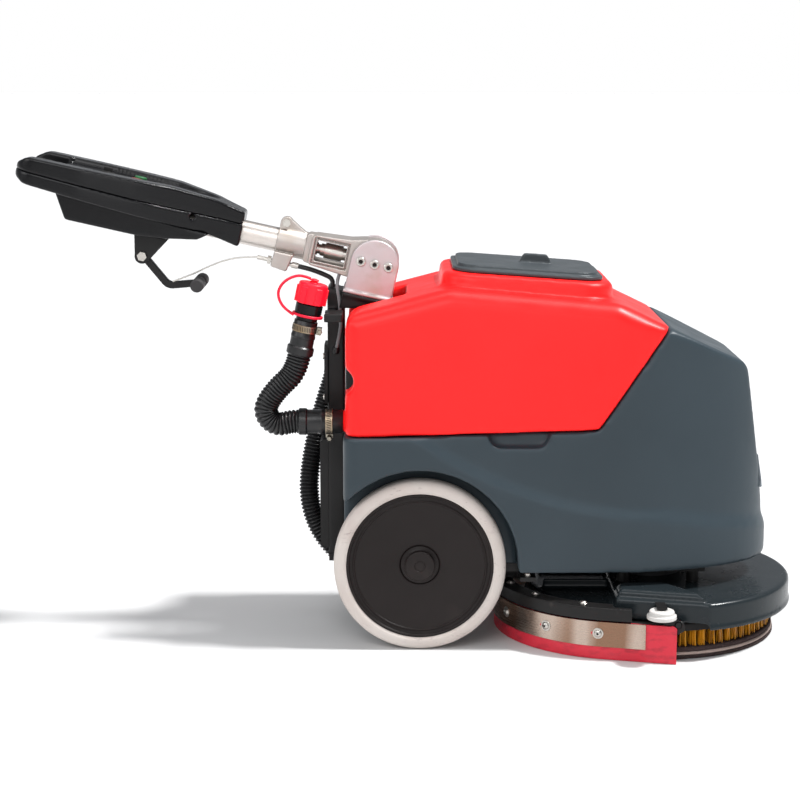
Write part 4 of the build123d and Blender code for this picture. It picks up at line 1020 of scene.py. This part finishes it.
def make_key():
    """The key in its switch: a stepped barrel and a flat bow that stands across it."""
    up = (sin(HANDLE_TILT), 0, cos(HANDLE_TILT))
    foot = on_handle(KEY_BACK, PANEL_HEIGHT, 0)
    barrel = lathe("key_barrel", [
        (0, 0), (0.0095, 0), (0.0100, 0.0006), (0.0100, 0.0022), (0.0092, 0.0030), (0.0060, 0.0032),
        (0.0056, 0.0038), (0, 0.0038),
    ], foot, up, 48)
    form = bmesh.new()
    middle = Matrix.Translation(on_handle(KEY_BACK, KEY_BOW_HEIGHT, 0))
    turn = Matrix.Rotation(HANDLE_TILT, 4, "Y")
    bmesh.ops.create_cube(form, size=1, matrix=middle @ turn @ sized(KEY_BOW_SIZE))
    bmesh.ops.bevel(form, geom=form.edges[:], offset=0.0009, segments=3, affect="EDGES", profile=0.5)
    key = joined("key_and_barrel", [barrel, finished("key_bow", form)])
    dress(key, "key_switch", FINISHES["driver_black"])


WINDOW_BACK = 0.0645
WEB_OFFSET = 0.0158
WEB_SIZE = (0.053, 0.0030, 0.0074)


def make_window_webs():
    """The two webs that close the knuckle's window above and below the lock pin."""
    form = bmesh.new()
    turn = Matrix.Rotation(HANDLE_TILT, 4, "Y")
    for up in (-WEB_OFFSET, WEB_OFFSET):
        middle = Matrix.Translation(on_handle(WINDOW_BACK, up, 0))
        bmesh.ops.create_cube(form, size=1, matrix=middle @ turn @ sized(WEB_SIZE))
    bmesh.ops.bevel(form, geom=form.edges[:], offset=0.0005, segments=2, affect="EDGES", profile=0.6)
    dress(finished("window_webs", form), "knuckle", stands_for=False)


# ---- CAD pieces that only need rounding or a finish --------------------------------------------
# Voxel size, rounds of smoothing and, where given, the swell that closes a seam.
SOFTENED = {
    "solution_tank": (0.0030, 16),
    "recovery_tank": (0.0028, 20),
    "tank_lid": (0.0014, 2),
    "deck_housing": (0.0022, 5),
    "upper_shell": (0.0014, 18, 0.0004),
    "lower_shell": (0.0014, 14, 0.0004),
    "control_box": (0.0016, 8),
    "knuckle": (0.0009, 4),
    "pivot_bracket": (0.0011, 3),
    "drain_cap": (0.0007, 3),
    "rear_column": (0.0016, 3),
    "squeegee_frame": (0.0015, 3),
    "right_roller": (0.0008, 4),
    "left_roller": (0.0008, 4),
    "lever_arm": (0.0008, 3),
    "lever_bracket": (0.0008, 2),
    "suction_elbow": (0.0010, 4),
}

# The notch's centre as seen from the side, and how far the painted shade at its bottom reaches out and
# aside.
NOTCH_CENTRE = (-0.100, 0.384)
NOTCH_REACH = 0.0172
NOTCH_FLOOR = 0.108


def paint_notch_shade(tank):
    """Paints shade into the bottom of the notch in each rear corner of the tank, as the dark material on
    its faces there.
    """
    tank.data.materials.append(FINISHES["driver_black"].material)
    for face in tank.data.polygons:
        along, aside, up = face.center
        reach = ((along - NOTCH_CENTRE[0]) ** 2 + (up - NOTCH_CENTRE[1]) ** 2) ** 0.5
        if reach < NOTCH_REACH and abs(aside) < NOTCH_FLOOR:
            face.material_index = 1


def make_softened():
    """All moulded and cast pieces."""
    for node, sizes in SOFTENED.items():
        piece = softened(node, *sizes, finish=BRACKET_METAL if node == "pivot_bracket" else None)
        # The recovery tank gets painted shade in its rear notches.
        if node == "recovery_tank":
            paint_notch_shade(piece)


def dress_cad_nodes():
    """A finish for every CAD node that is still shown."""
    special = {
        "handle_tube": TUBE_METAL,
        "clamp_strip": STRIP_STEEL,
        "lever_grip": GRIP_RUBBER,
        "deck_pins": FINISHES["frame_black"],
    }
    for name, node in frame["nodes"].items():
        if node.hide_render:
            continue
        finish = special.get(name) or FINISHES[SLOT_OF[name]]
        node.data.materials.clear()
        node.data.materials.append(finish.material)


# ---- The whole scene ---------------------------------------------------------------------------
make_camera()
make_suction_hose()
make_drain_hose()
make_thin_cords()
make_tether()
make_drain_cuffs()
make_drain_neck()
make_hose_clamps()
for body_side, wheel_side in (("right", -1), ("left", 1)):
    make_tyre(body_side + "_tyre", wheel_side)
    make_wheel(body_side + "_wheel", wheel_side)
make_tufts()
make_pad()
make_pivot_bolts()
make_clamp_bolts()
make_strip_slots()
make_cable_grommet()
make_window_webs()
make_key()
make_softened()
dress_cad_nodes()
make_floor()
make_world()
make_sun()
for softbox in SOFTBOXES:
    make_area_light(*softbox)
bpy.context.scene.view_settings.view_transform = "Standard"
